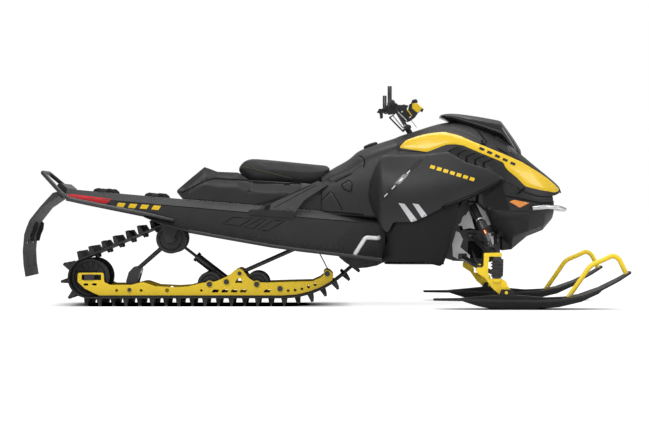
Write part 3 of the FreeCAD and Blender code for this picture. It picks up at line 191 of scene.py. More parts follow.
surface("marker_amber", (0.72, 0.2, 0.015), (0.9, 0.34, 0.04), (0.12, 0.25), coat=0.8, grain=0.3,
        grain_scale=260.0)
surface("engine_metal", (0.1, 0.1, 0.1), (0.2, 0.2, 0.21), (0.4, 0.6), metal=0.7, grain=0.5,
        grain_scale=300.0)
surface("grip_rubber", (0.01, 0.01, 0.011), (0.02, 0.02, 0.021), (0.6, 0.8), grain=0.6, grain_scale=320.0)
surface("yellow_paint", (0.9, 0.63, 0.015), (0.95, 0.68, 0.022), (0.34, 0.42), grain=0.02,
        patch_scale=3.0)
surface("ski_plastic", (0.009, 0.009, 0.01), (0.016, 0.016, 0.017), (0.35, 0.5), stretch=(0.3, 1.0, 1.0),
        shine=0.4)
surface("flap_rubber", (0.02, 0.02, 0.022), (0.034, 0.034, 0.037), (0.5, 0.7), grain=0.4,
        grain_scale=600.0)
rear_lens("light_red", (0.014, 0.014, 0.015))
surface("decal_red", (0.42, 0.008, 0.014), (0.52, 0.014, 0.022), (0.45, 0.6), shine=0.3)
surface("decal_silver", (0.5, 0.5, 0.52), (0.64, 0.64, 0.66), (0.25, 0.4), metal=0.35)
surface("copper", (0.6, 0.22, 0.1), (0.75, 0.32, 0.15), (0.15, 0.3), metal=1.0)
surface("thread_green", (0.06, 0.07, 0.02), (0.1, 0.12, 0.03), (0.6, 0.8))
# A lighter copy of cast aluminium: painted light that lifts the frame castings out of the shade of the nose
# and side panels
surface("cast_painted_light", (0.78, 0.78, 0.79), (0.92, 0.92, 0.93), (0.45, 0.6), grain=0.5, grain_scale=350.0)
surface("well_black", (0.006, 0.006, 0.007), (0.016, 0.016, 0.017), (0.55, 0.8), grain=1.0,
        grain_scale=260.0)
# Near-black for real dark seams, and also painted shade: shadows behind the vent scales, the shoulder
# crease, the seat base's shadow line and the sheet in the front bay
surface("seam_and_shade_black", (0.002, 0.002, 0.002), (0.004, 0.004, 0.004), (0.6, 0.8), shine=0.15)
# Near-black painted shade: lower panels turned away from the light, the recess in them, and the dark opening
# behind the nose panel
surface("shade_black", (0.004, 0.004, 0.0045), (0.007, 0.007, 0.0075), (0.4, 0.55), grain=0.22,
        grain_scale=1200.0, shine=0.25)


# Shapes as lists of points and faces


def joined(*shapes):
    points = []
    faces = []
    for more_points, more_faces in shapes:
        start = len(points)
        points += more_points
        faces += [[start + i for i in face] for face in more_faces]
    return points, faces


def flipped(shape):
    """The shape mirrored to the other side."""
    points, faces = shape
    return [Vector((p.x, -p.y, p.z)) for p in points], [list(reversed(face)) for face in faces]


def bridged(rings):
    """A skin through closed rings of one length, its ends filled."""
    count = len(rings[0])
    points = [Vector(p) for ring in rings for p in ring]
    faces = []
    for row in range(len(rings) - 1):
        for i in range(count):
            a = row * count + i
            b = row * count + (i + 1) % count
            faces.append([a, b, b + count, a + count])
    last = (len(rings) - 1) * count
    faces.append(list(reversed(range(count))))
    faces.append([last + i for i in range(count)])
    return points, faces


def sheet(rows):
    """An open skin through rows of one length."""
    count = len(rows[0])
    faces = [
        [r * count + i, r * count + i + 1, (r + 1) * count + i + 1, (r + 1) * count + i]
        for r in range(len(rows) - 1)
        for i in range(count - 1)
    ]
    return [p for row in rows for p in row], faces


def circle(centre, side, other, radius, sides):
    """Points round a circle in the plane of two directions."""
    turn = 2 * math.pi / sides
    return [centre + (side * math.cos(i * turn) + other * math.sin(i * turn)) * radius for i in range(sides)]


def turned(profile, start, axis, sides=28):
    """A round shape from (distance along, radius) pairs about an axis."""
    start = Vector(start)
    axis = Vector(axis).normalized()
    up = Vector((0, 0, 1)) if abs(axis.z) < 0.9 else Vector((1, 0, 0))
    side = axis.cross(up).normalized()
    other = axis.cross(side)
    return bridged([circle(start + axis * along, side, other, radius, sides) for along, radius in profile])


def rod(start, end, radius, sides=20, edge=0.8):
    """A round bar with eased ends."""
    start = Vector(start)
    axis = Vector(end) - start
    length = axis.length
    edge = min(edge, radius * 0.4, length * 0.3)
    profile = [(0, radius - edge), (edge, radius), (length - edge, radius), (length, radius - edge)]
    return turned(profile, start, axis, sides)


def corner_arc(before, corner, after, bend, share, steps):
    """Points of an arc in a corner's place, at most a share of the sides beside it."""
    back = before - corner
    ahead = after - corner
    reach = min(bend, share * back.length, share * ahead.length)
    start = corner + back.normalized() * reach
    end = corner + ahead.normalized() * reach
    places = [i / steps for i in range(steps + 1)]
    return [start * (1 - t) ** 2 + corner * 2 * t * (1 - t) + end * t ** 2 for t in places]


def arced(path, bend):
    """A path's points with each inner corner turned into an arc."""
    path = [Vector(p) for p in path]
    points = [path[0]]
    for before, corner, after in zip(path, path[1:], path[2:]):
        points += corner_arc(before, corner, after, bend, 0.48, 6)
    return points + [path[-1]]


def heading(path, i):
    """The direction of a path at one of its points."""
    return (path[min(i + 1, len(path) - 1)] - path[max(i - 1, 0)]).normalized()


def swept(path, radius, sides=16):
    """A round bar along a path of close points."""
    rings = []
    side = (path[1] - path[0]).normalized().orthogonal().normalized()
    for i, point in enumerate(path):
        tangent = heading(path, i)
        side = (side - tangent * side.dot(tangent)).normalized()
        rings.append(circle(point, side, tangent.cross(side), radius, sides))
    return bridged(rings)


def plate(outline, low_y, high_y):
    """A flat plate between two Y places."""
    return bridged([[Vector((x, y, z)) for x, z in outline] for y in (low_y, high_y)])


def hexagon(centre, axis, radius, height):
    """A bolt head on a washer."""
    washer = turned([(0, radius * 1.3), (height * 0.25, radius * 1.3)], centre, axis, 20)
    head = [(height * 0.25, radius), (height * 0.8, radius), (height, radius * 0.82)]
    return joined(washer, turned(head, centre, axis, 6))


# Pieces, and the angles above which their edges stay sharp or are rounded

solid_sharp = 38.0
soft_sharp = 50.0
rounded_from = 34.0


def placed(name, data):
    """A new object in the scene."""
    made = bpy.data.objects.new(name, data)
    scene.collection.objects.link(made)
    return made


def rounded_edges(piece, width):
    edges = piece.modifiers.new("edges", "BEVEL")
    edges.width = width * mm
    edges.segments = 2
    edges.limit_method = "ANGLE"
    edges.angle_limit = math.radians(rounded_from)
    edges.harden_normals = True


def add(name, shape, finish, body="chassis", look=None, sharp=solid_sharp, bevel=0.0):
    """A piece on a body, in its material slot's finish unless it has a look of its own."""
    points, faces = shape
    mesh = bpy.data.meshes.new(name)
    mesh.from_pydata([p * mm for p in points], [], faces)
    edit = bmesh.new()
    edit.from_mesh(mesh)
    bmesh.ops.recalc_face_normals(edit, faces=edit.faces)
    edit.to_mesh(mesh)
    edit.free()
    mesh.polygons.foreach_set("use_smooth", [True] * len(mesh.polygons))
    mesh.set_sharp_from_angle(angle=math.radians(sharp))
    mesh.materials.append(finishes[look or finish])
    piece = placed(name, mesh)
    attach(piece, body)
    if bevel:
        rounded_edges(piece, bevel)
    return piece


def pair(name, shapes, finish="body_plastic", look=None, sharp=soft_sharp, bevel=0.0):
    """A piece from shapes on the machine's left side and their mirror images."""
    shape = joined(*shapes)
    return add(name, joined(shape, flipped(shape)), finish, look=look, sharp=sharp, bevel=bevel)


def creased(piece, lines, weight):
    """Sets the crease of each edge between two listed points."""
    mesh = piece.data
    values = mesh.attributes.get("crease_edge") or mesh.attributes.new("crease_edge", "FLOAT", "EDGE")
    for edge in mesh.edges:
        if tuple(sorted(edge.vertices)) in lines:
            values.data[edge.index].value = weight


def subdivided(piece, levels):
    smooth = piece.modifiers.new("smooth", "SUBSURF")
    smooth.levels = levels
    smooth.render_levels = levels


def cage(name, stations, finish, row_creases, station_creases, thickness=0.0, closed=False):
    """A smooth shell through stations along the machine, with sharper lines where asked."""
    rows = []
    for x, half in stations:
        right = [Vector((x, -y, z)) for y, z in reversed(half) if y > 0]
        rows.append(right + [Vector((x, y, z)) for y, z in half])
    count = len(rows[0])
    piece = add(name, bridged(rows) if closed else sheet(rows), finish, sharp=180.0)
    offset = count - len(stations[0][1])
    for index, weight in row_creases:
        for column in {offset + index, count - 1 - offset - index}:
            lines = {(r * count + column, (r + 1) * count + column) for r in range(len(rows) - 1)}
            creased(piece, lines, weight)
    for index, weight in station_creases:
        start = index * count
        columns = range(count if closed else count - 1)
        lines = {tuple(sorted((start + c, start + (c + 1) % count))) for c in columns}
        creased(piece, lines, weight)
    subdivided(piece, 3)
    if thickness:
        wall = piece.modifiers.new("wall", "SOLIDIFY")
        wall.thickness = thickness * mm
        wall.offset = -1.0
    return piece


def half_skin(name, stations, ridge=0):
    """A smooth open sheet on the left side only, used to lay plates on."""
    rows = [[Vector((x, y, z)) for y, z in half] for x, half in stations]
    count = len(rows[0])
    piece = add(name, sheet(rows), "body_plastic", sharp=180.0)
    creased(piece, {(ridge * count + i, ridge * count + i + 1) for i in range(count - 1)}, 0.75)
    subdivided(piece, 3)
    return piece


def skin_of(piece):
    """Search tree over a piece's finished surface, in metres."""
    return BVHTree.FromObject(piece, bpy.context.evaluated_depsgraph_get())


def softened(outline, corner, step):
    """A closed outline with rounded corners and no run longer than step."""
    points = [Vector(p) for p in outline]
    smooth = []
    for i, point in enumerate(points):
        smooth += corner_arc(points[i - 1], point, points[(i + 1) % len(points)], corner, 0.45, 3)
    closed = []
    for point, after in zip(smooth, smooth[1:] + smooth[:1]):
        ahead = after - point
        runs = max(1, math.ceil(ahead.length / step))
        closed += [point + ahead * (k / runs) for k in range(runs) if ahead.length > 0.2]
    return closed


def inside(point, outline):
    """Whether a point lies inside a closed outline."""
    crossings = 0
    for a, b in zip(outline, outline[1:] + outline[:1]):
        if (a.y > point.y) != (b.y > point.y):
            if point.x < a.x + (b.x - a.x) * (point.y - a.y) / (b.y - a.y):
                crossings += 1
    return crossings % 2 == 1


def line_distance(point, path):
    """Distance from a point to the nearest run of an open path."""
    best = 1e9
    for a, b in zip(path, path[1:]):
        run = b - a
        share = max(0.0, min(1.0, (point - a).dot(run) / max(run.length_squared, 1e-9)))
        best = min(best, (a + run * share - point).length)
    return best


# A plate is laid on a skin from far_left, and where it misses, at the nearest place to near_left

far_left = 1200.0
near_left = 300.0


def draped(outline, skin, lift, depth=4.0, corner=8.0, step=14.0, edge=0.0):
    """A plate on a skin: lift above it, depth into it, its rim eased over edge.

    The outline is seen from the left, with its corners rounded and its points a step apart.
    """
    border = softened(outline, corner, step)
    rim_path = border + border[:1]
    low = Vector([min(values) for values in zip(*border)])
    high = Vector([max(values) for values in zip(*border)])
    inner = []
    for i in range(int((high.x - low.x) / step) + 1):
        for k in range(int((high.y - low.y) / step) + 1):
            point = Vector((low.x + (i + 0.5) * step, low.y + (k + 0.5) * step))
            if inside(point, border) and line_distance(point, rim_path) > 0.45 * step:
                inner.append(point)
    count = len(border)
    runs = [(i, (i + 1) % count) for i in range(count)]
    flat, _, triangles, _, _, _ = delaunay_2d_cdt(border + inner, runs, [], 1, 1e-4)
    inwards = Vector((0, -1, 0))
    top = []
    bottom = []
    for point in flat:
        origin = Vector((point.x, far_left, point.y))
        place, normal, _, _ = skin.ray_cast(origin * mm, inwards)
        if place is None:
            place, normal, _, _ = skin.find_nearest(Vector((point.x, near_left, point.y)) * mm)
        if normal.dot(inwards) > 0:
            normal = -normal
        rise = lift(point) if callable(lift) else lift
        if edge:
            near = min(1.0, line_distance(point, rim_path) / edge)
            rise *= 0.25 + 0.75 * math.sqrt(1 - (1 - near) ** 2)
        top.append(place / mm + normal * rise)
        bottom.append(place / mm - normal * depth)
    size = len(flat)
    used = dict.fromkeys(run for t in triangles for run in zip(t, t[1:] + t[:1]))
    faces = [list(t) for t in triangles]
    faces += [[size + i for i in reversed(t)] for t in triangles]
    faces += [[b, a, size + a, size + b] for a, b in used if (b, a) not in used]
    return top + bottom, faces


def band(path, width):
    """The outline of a narrow band on both sides of an open path."""
    path = [Vector(p) for p in path]
    left = []
    right = []
    for i, point in enumerate(path):
        ahead = heading(path, i)
        side = Vector((-ahead.y, ahead.x)) * (width / 2)
        left.append(tuple(point + side))
        right.append(tuple(point - side))
    return left + right[::-1]


def line(path, width, skin, lift, step=7.0, depth=1.5, corner=1.0):
    """A narrow band on a skin."""
    return draped(band(path, width), skin, lift, depth, corner, step)


def line_round(outline, width, skin, lift, step, depth=1.5):
    """A narrow band on a skin along each side of a closed outline."""
    sides = zip(outline, outline[1:] + outline[:1])
    return joined(*[line(side, width, skin, lift, step, depth, 0.8) for side in sides])


def bar_row(count, start, pitch, length, height, lean, drop):
    """Outlines of plain slanted bars in a row, each with its far end lower by drop."""
    bars = []
    for i in range(count):
        x, z = Vector(start) + Vector(pitch) * i
        far = z - drop
        bars.append([(x, z), (x + length, far), (x + length + lean, far + height), (x + lean, z + height)])
    return bars


# Upper body: hood, mouldings, vents and visor

hood_stations = [
    (398, [(0, 899), (102, 896), (212, 854), (240, 812), (247, 776)]),
    (424, [(0, 911), (112, 908), (224, 866), (248, 822), (256, 778)]),
    (480, [(0, 928), (128, 922), (226, 888), (254, 832), (265, 775)]),
    (560, [(0, 955), (138, 948), (231, 912), (262, 836), (276, 765)]),
    (660, [(0, 987), (148, 976), (233, 920), (270, 852), (288, 750)]),
    (760, [(0, 992), (152, 972), (238, 892), (276, 832), (294, 730)]),
    (860, [(0, 967), (152, 944), (242, 856), (280, 796), (296, 700)]),
    (960, [(0, 917), (146, 892), (238, 815), (278, 750), (292, 668)]),
    (1060, [(0, 824), (134, 806), (220, 770), (260, 690), (276, 600)]),
    (1160, [(0, 736), (118, 726), (192, 710), (232, 630), (240, 575)]),
    (1245, [(0, 668), (94, 662), (146, 636), (164, 608), (168, 586)]),
    (1271, [(0, 640), (62, 637), (92, 627), (106, 615), (109, 604)]),
    (1278, [(0, 613), (62, 612), (91, 608), (104, 604), (107, 599)]),
]
hood = cage("hood_shell", hood_stations, "body_plastic", [(2, 0.45), (3, 0.25)], [(11, 0.5), (12, 0.8)],
            thickness=4.0)
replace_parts(hood, "hood")
hood_skin = skin_of(hood)

stripe = [
    (411, 836), (414, 846), (446, 878), (519, 902), (584, 915), (648, 920), (722, 901), (811, 862),
    (892, 829), (963, 800), (1053, 762), (1149, 706), (1190, 680), (1240, 642), (1263, 622),
    (1258, 609), (1236, 602), (1162, 612), (1096, 626), (1066, 634), (1021, 680), (981, 712), (962, 732),
    (952, 758), (900, 780), (820, 813), (740, 848), (700, 854), (657, 853), (620, 840), (552, 813),
]
moulding = draped(stripe, hood_skin, 5.0, corner=9.0, step=11.0, edge=7.0)
stripes = pair("stripe_mouldings", [moulding], "trim_yellow")
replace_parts(stripes, "hood_trims")
stripe_skin = skin_of(stripes)
slots = bar_row(5, (822, 829), (41, -19.2), 25, 12, 9, 11)
pair("stripe_bars", [draped(slot, stripe_skin, 0.6, 1.5, 2.0, 6.0) for slot in slots], "visor_black")

vent_start = Vector((674.0, 818.0))
vent_pitch = Vector((45.0, -15.8))
vent_length = 26.0
vent_rise = 8.0
shadow_shift = Vector((6.5, 1.0))
scale_rear = [(48, 20), (0, 0), (-2, -20), (16, -48)]
scale_front = [(62, -60), (44, -30), (46, -14), (92, 4)]


def shingle(rear_edge):
    """Rise of a vent scale: high along its rear edge, flush at its front."""
    return lambda p: 1.0 + vent_rise * max(0.0, 1.0 - line_distance(p, rear_edge) / vent_length)


# The near-black band just behind each scale's rear edge is painted shadow under the raised edge
scales = []
vent_shadows = []
for i in range(5):
    corner = vent_start + vent_pitch * i
    rear_edge = [corner + Vector(p) for p in scale_rear]
    outline = rear_edge + [corner + Vector(p) for p in scale_front]
    scales.append(draped(outline, hood_skin, shingle(rear_edge), 5.0, 3.0, 6.0))
    vent_shadows.append(line([p - shadow_shift for p in rear_edge], 9.0, hood_skin, 3.6, 5.0, depth=4.0))
pair("vent_painted_shadows", vent_shadows, look="seam_and_shade_black")
vents = pair("vent_scales", scales, sharp=40.0)
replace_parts(vents, "hood_louvres")

ear = [
    (668, 952), (700, 975), (740, 982), (791, 963), (826, 935), (856, 899), (880, 868), (866, 853),
    (842, 866), (800, 893), (740, 922), (690, 936),
]
lamp_brow = [(914, 893), (930, 916), (976, 903), (1016, 866), (1012, 828), (985, 846), (960, 870)]
ears = draped(ear, hood_skin, 2.6, 3.0, 10.0, 10.0, edge=5.0)
brows = draped(lamp_brow, hood_skin, 6.0, 4.0, 6.0, 8.0, edge=6.0)
pair("hood_facets", [ears, brows])
ear_line = [(822, 930), (846, 896), (868, 866), (862, 855), (836, 858)]
belt_line = [(404, 824), (470, 818), (540, 812), (566, 818)]
stud = softened([(836, 872), (844, 878), (850, 870), (842, 864)], 4.0, 4.0)
hood_lines = [
    line(ear_line, 4.0, hood_skin, 4.6, 6.0),
    line([(700, 981), (760, 978), (822, 930)], 3.0, hood_skin, 3.4, 6.0),
    draped(stud, hood_skin, 4.4, 1.5, 0.5, 4.0),
    line(belt_line, 4.5, hood_skin, 0.6, 8.0),
]
pair("hood_lines", hood_lines, look="seam_and_shade_black")

lens = [(976, 852), (1000, 866), (1026, 838), (1036, 808), (1014, 796), (986, 818)]
lenses = pair("headlamp_lenses", [draped(lens, hood_skin, 7.0, 6.0, 8.0, 7.0, edge=8.0)], "lamp_lens")
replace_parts(lenses, "headlights")

visor_stations = [
    (638, [(0, 1020), (52, 1019), (70, 1014), (68, 1006), (40, 1004), (0, 1004)]),
    (652, [(0, 1026), (70, 1024), (94, 1015), (92, 1004), (60, 1000), (0, 1000)]),
    (705, [(0, 1031), (98, 1027), (132, 1014), (132, 998), (110, 972), (0, 972)]),
    (832, [(0, 1014), (108, 1009), (150, 988), (158, 960), (120, 930), (0, 930)]),
    (956, [(0, 991), (98, 986), (138, 964), (154, 922), (110, 880), (0, 880)]),
    (1030, [(0, 892), (90, 887), (128, 862), (148, 820), (100, 780), (0, 780)]),
    (1066, [(0, 834), (76, 828), (104, 806), (118, 776), (80, 740), (0, 740)]),
]
visor = cage("visor", visor_stations, "visor_black", [(1, 0.35), (2, 0.85), (3, 0.7)],
             [(0, 0.8), (4, 0.75), (6, 0.8)], closed=True)
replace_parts(visor, "windshield")

# Side body: upper panels, lower panels and console

side_stations = [
    (228, [(222, 806), (222, 700), (226, 590), (224, 500), (216, 380)]),
    (270, [(226, 806), (254, 700), (264, 590), (262, 490), (250, 380)]),
    (310, [(231, 806), (302, 700), (322, 588), (316, 476), (298, 380)]),
    (400, [(240, 812), (324, 700), (350, 585), (346, 455), (322, 380)]),
    (520, [(258, 820), (334, 705), (362, 590), (358, 462), (330, 390)]),
    (660, [(274, 826), (338, 700), (360, 610), (352, 522), (324, 440)]),
    (800, [(284, 800), (330, 706), (344, 650), (336, 580), (306, 510)]),
    (960, [(292, 742), (302, 700), (308, 680), (304, 655), (280, 600)]),
]
side_sheet = half_skin("side_sheet", side_stations, ridge=2)
side_outline = [
    (312, 790), (336, 798), (430, 801), (500, 801), (574, 804), (620, 812), (665, 814), (710, 785),
    (755, 758), (855, 727), (915, 699), (956, 668), (915, 642), (765, 565), (665, 529), (624, 519),
    (510, 460), (474, 447), (372, 446), (352, 402), (336, 390), (300, 440), (262, 520), (247, 572),
    (245, 600), (254, 660), (280, 730),
]
side_shape = draped(side_outline, skin_of(side_sheet), 5.0, 4.0, 12.0, 10.0, edge=9.0)
side_panels = pair("side_panels_dressed", [side_shape])
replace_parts(side_panels, "side_panels")
panel_skin = skin_of(side_panels)
bpy.data.objects.remove(side_sheet)

strip = [(300, 566), (322, 556), (506, 748), (530, 776), (508, 770), (484, 756)]
pair("side_strips", [draped(strip, panel_skin, 1.8, 2.0, 3.0, 6.0)], "visor_black")
tag_start = Vector((326.0, 578.0))
tag_pitch = Vector((39.0, 39.5))
tag_run = Vector((17.0, 17.4))
feet = [tag_start + tag_pitch * i for i in range(4)]
tags = [line([foot, foot + tag_run], 6.0, panel_skin, 3.6, 5.0, 2.0, 1.5) for foot in feet]
pair("strip_tags", tags, "tunnel_paint", "decal_silver")
panel_lip = [(946, 661), (905, 637), (765, 566), (668, 531), (622, 521)]
panel_line = [(944, 669), (900, 650), (766, 583), (668, 546), (630, 536)]
panel_lips = [
    line(panel_lip, 13.0, panel_skin, 2.8, 5.0, 2.0, 3.0),
    line(panel_line, 3.0, panel_skin, 2.0, 5.0, 1.0),
]
pair("panel_lips", panel_lips, look="seam_and_shade_black")

dashes = bar_row(7, (562, 728), (34, -10.5), 24, 17, 7, 7)
pair("side_bars_yellow", [draped(bar, panel_skin, 0.7, 1.5, 2.5, 8.0) for bar in dashes], "trim_yellow")
slashes = [
    draped([(398, 546), (430, 541), (496, 456), (464, 447)], panel_skin, 0.8, 1.5, 3.0, 9.0),
    draped([(470, 544), (502, 539), (548, 480), (519, 470)], panel_skin, 0.8, 1.5, 3.0, 9.0),
]
pair("side_bars_silver", slashes, look="decal_silver")

lower_stations = [
    (306, [(232, 560), (234, 450), (234, 380), (232, 300), (226, 205)]),
    (345, [(286, 560), (292, 450), (288, 380), (276, 300), (252, 205)]),
    (420, [(322, 560), (330, 450), (322, 380), (304, 300), (276, 205)]),
    (560, [(330, 580), (340, 470), (330, 385), (310, 300), (284, 205)]),
    (660, [(326, 620), (334, 510), (322, 410), (304, 310), (280, 205)]),
    (780, [(316, 660), (322, 570), (308, 460), (292, 340), (272, 205)]),
]
lower_sheet = half_skin("lower_sheet", lower_stations)
lower_outline = [
    (332, 386), (346, 402), (374, 462), (474, 460), (512, 474), (624, 534), (700, 560), (716, 552),
    (708, 500), (678, 378), (660, 292), (640, 236), (622, 214), (580, 224), (533, 236), (365, 236),
    (316, 242), (322, 300), (347, 349),
]
lower_shape = draped(lower_outline, skin_of(lower_sheet), 4.0, 4.0, 12.0, 12.0, edge=8.0)
# The lower panels are near-black: painted shade on faces that turn down, away from the light
lower_panels = pair("lower_panels_dressed", [lower_shape], look="shade_black")
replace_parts(lower_panels, "lower_panels")
bpy.data.objects.remove(lower_sheet)
# The recess is darker still: painted shade inside it
recess = [(452, 442), (640, 520), (676, 500), (668, 440), (640, 408), (470, 408), (440, 424)]
recesses = draped(recess, skin_of(lower_panels), 1.4, 2.0, 10.0, 12.0, edge=6.0)
pair("lower_recesses", [recesses], look="shade_black")

console_stations = [
    (-4, [(0, 690), (96, 688), (150, 668), (176, 600), (180, 480)]),
    (60, [(0, 737), (92, 733), (162, 702), (188, 620), (192, 480)]),
    (147, [(0, 779), (88, 775), (168, 738), (204, 640), (208, 480)]),
    (186, [(0, 822), (86, 818), (172, 768), (214, 650), (218, 478)]),
    (232, [(0, 844), (86, 840), (178, 796), (224, 664), (230, 472)]),
    (302, [(0, 868), (88, 865), (190, 828), (236, 690), (242, 468)]),
    (412, [(0, 903), (99, 899), (208, 858), (240, 716), (246, 468)]),
]
console = cage("console_shell", console_stations, "body_plastic", [(2, 0.3), (4, 1.0)],
               [(0, 0.8), (3, 0.2), (6, 1.0)], thickness=4.0)
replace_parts(console, "console")
console_skin = skin_of(console)
badge = [(103, 643), (145, 668), (160, 649), (158, 612), (145, 606), (114, 621)]
shoulder = [
    (50, 652), (97, 679), (157, 700), (188, 733), (216, 745), (224, 762), (218, 784), (202, 795),
    (180, 780), (150, 752), (96, 722), (40, 700), (20, 672),
]
low_facet = [(-2, 560), (46, 606), (56, 602), (108, 512), (60, 500), (0, 506)]
console_folds = [
    draped(badge, console_skin, 2.6, 3.0, 5.0, 6.0, edge=4.0),
    draped(shoulder, console_skin, 3.5, 3.0, 14.0, 9.0, edge=12.0),
    draped(low_facet, console_skin, 2.5, 3.0, 6.0, 9.0, edge=8.0),
]
pair("console_folds", console_folds)
# The near-black line along the shoulder fold is painted crease shade
fold_line = [(200, 796), (214, 790), (224, 778), (227, 760), (221, 735)]
foot_line = [(x, tunnel_top(x) + 2.0) for x in (-2, 60, 140, 220)]
console_lines = [
    line(fold_line, 4.0, console_skin, 4.0),
    line(foot_line, 9.0, console_skin, 0.8, 9.0),
    line_round(badge, 3.5, console_skin, 2.9, 6.0),
    line([(-2, 558), (44, 606), (58, 600), (110, 510)], 3.5, console_skin, 3.0),
    line([(70, 658), (116, 681), (156, 700)], 3.0, console_skin, 4.2),
]
pair("console_lines", console_lines, look="seam_and_shade_black")
cap = turned([(0, 34), (7, 40), (15, 39), (20, 30), (22, 0.5)], (266, 0, 848), (-0.36, 0, 1), 32)
add("tank_cap", cap, "body_plastic", sharp=soft_sharp)

# Nose and front loop

nose_stations = [
    (846, [(0, 620), (200, 640), (274, 640), (286, 560), (280, 506), (220, 470), (0, 470)]),
    (920, [(0, 640), (200, 660), (284, 680), (292, 575), (286, 505), (232, 420), (0, 400)]),
    (1010, [(0, 690), (170, 695), (268, 694), (284, 580), (276, 502), (214, 372), (0, 300)]),
    (1095, [(0, 640), (160, 640), (246, 636), (260, 570), (252, 502), (190, 396), (0, 368)]),
    (1180, [(0, 610), (126, 610), (200, 602), (216, 560), (208, 502), (152, 430), (0, 402)]),
    (1236, [(0, 590), (92, 590), (150, 584), (162, 556), (154, 508), (100, 474), (0, 456)]),
]
nose_sheet = cage("nose_sheet", nose_stations, "body_plastic", [(2, 0.4), (3, 0.3), (4, 0.8)],
                  [(0, 1.0), (5, 0.7)], closed=True)
sheet_skin = skin_of(nose_sheet)
nose_upper = [
    (866, 652), (900, 712), (941, 738), (958, 728), (978, 706), (1018, 674), (1064, 630), (1096, 620),
    (1162, 607), (1222, 596), (1226, 566), (1219, 512), (1080, 503), (980, 504), (872, 508), (862, 560),
]
nose_lower = [
    (872, 502), (982, 498), (1109, 500), (1216, 506), (1206, 480), (1180, 434), (1133, 400),
    (1067, 368), (1040, 330), (1011, 298), (962, 293), (950, 330), (934, 362), (954, 404), (918, 444),
]
nose_shapes = [
    draped(nose_upper, sheet_skin, 4.0, 5.0, 8.0, 11.0, edge=6.0),
    draped(nose_lower, sheet_skin, 3.0, 5.0, 8.0, 11.0, edge=6.0),
]
nose = pair("nose_panels", nose_shapes)
nose_skin = skin_of(nose)
bpy.data.objects.remove(nose_sheet)
facet = [(940, 700), (972, 610), (1000, 596), (1040, 636), (1004, 670), (966, 706)]
pair("nose_facets", [draped(facet, nose_skin, 4.0, 3.0, 6.0, 9.0, edge=6.0)])
notch = [(1020, 592), (1044, 616), (1080, 644), (1062, 615), (1040, 597)]
nose_lines = [
    draped(notch, nose_skin, 5.6, 2.0, 1.5, 6.0),
    line([(940, 588), (1034, 569), (1155, 546), (1212, 548)], 5.0, nose_skin, 4.6, depth=2.0),
]
pair("nose_lines", nose_lines, look="seam_and_shade_black")
shade = [(872, 652), (902, 690), (940, 700), (950, 620), (958, 584), (986, 509), (884, 510), (870, 560)]
rear_shade = [(838, 610), (866, 640), (882, 650), (882, 508), (850, 520), (842, 560)]
shades = [
    draped(shade, nose_skin, 4.6, 3.0, 6.0, 8.0),
    draped(rear_shade, skin_of(nodes["nose"]), 1.5, 2.0, 4.0, 8.0),
]
pair("nose_shades", shades, look="shade_black")
marker = [(982, 552), (1006, 563), (1090, 546), (1038, 521)]
markers = pair("marker_lenses", [draped(marker, nose_skin, 4.0, 3.0, 5.0, 6.0, edge=5.0)], "marker_amber")
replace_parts(markers, "side_markers")

# CAD nodes: finish, and softened edges on those that stay in view

stood_in = [
    "hood", "hood_trims", "hood_louvres", "headlights", "windshield", "side_panels", "lower_panels",
    "console", "side_markers", "seat_cushion", "foot_wells", "ski_loop_left", "ski_loop_right",
]
other_looks = dict.fromkeys(("skid_shafts", "rear_axle", "knuckles", "front_frame"), "dark_metal")
other_looks["seat_struts"] = "body_plastic"
own_slots = {part["node"]: part["material_slot"] for part in frame["record"]["subparts"]}
for name, node in nodes.items():
    node.data.materials.clear()
    node.data.materials.append(finishes[other_looks.get(name, own_slots[name])])
    if name not in stood_in:
        weld = node.modifiers.new("weld", "WELD")
        weld.merge_threshold = 0.02 * mm
        rounded_edges(node, 0.8)
fuller = nodes["toe_holds"].modifiers.new("fuller", "DISPLACE")
fuller.strength = 2.0 * mm
fuller.mid_level = 0.0

# Seat cushion: swollen by a cloth simulation

cloth_voxel = 6.0
cloth_frames = 18
cloth_pressure = 4.0
swell_cap = 5.0
seat_stations = [
    (-448, [(0, 742), (70, 741), (92, 730), (82, 716), (0, 712)]),
    (-412, [(0, 775), (84, 773), (106, 738), (98, 690), (0, 684)]),
    (-370, [(0, 780), (86, 778), (112, 734), (104, 662), (0, 656)]),
    (-300, [(0, 776), (86, 774), (113, 728), (106, 656), (0, 650)]),
    (-160, [(0, 762), (82, 760), (110, 716), (100, 650), (0, 646)]),
    (-40, [(0, 750), (76, 748), (100, 708), (90, 640), (0, 636)]),
    (22, [(0, 744), (66, 742), (88, 722), (80, 676), (0, 668)]),
    (46, [(0, 740), (56, 739), (72, 730), (66, 716), (0, 712)]),
]


def settled(piece):
    """Turns a piece's finished form into its mesh."""
    graph = bpy.context.evaluated_depsgraph_get()
    mesh = bpy.data.meshes.new_from_object(piece.evaluated_get(graph))
    piece.modifiers.clear()
    piece.data = mesh


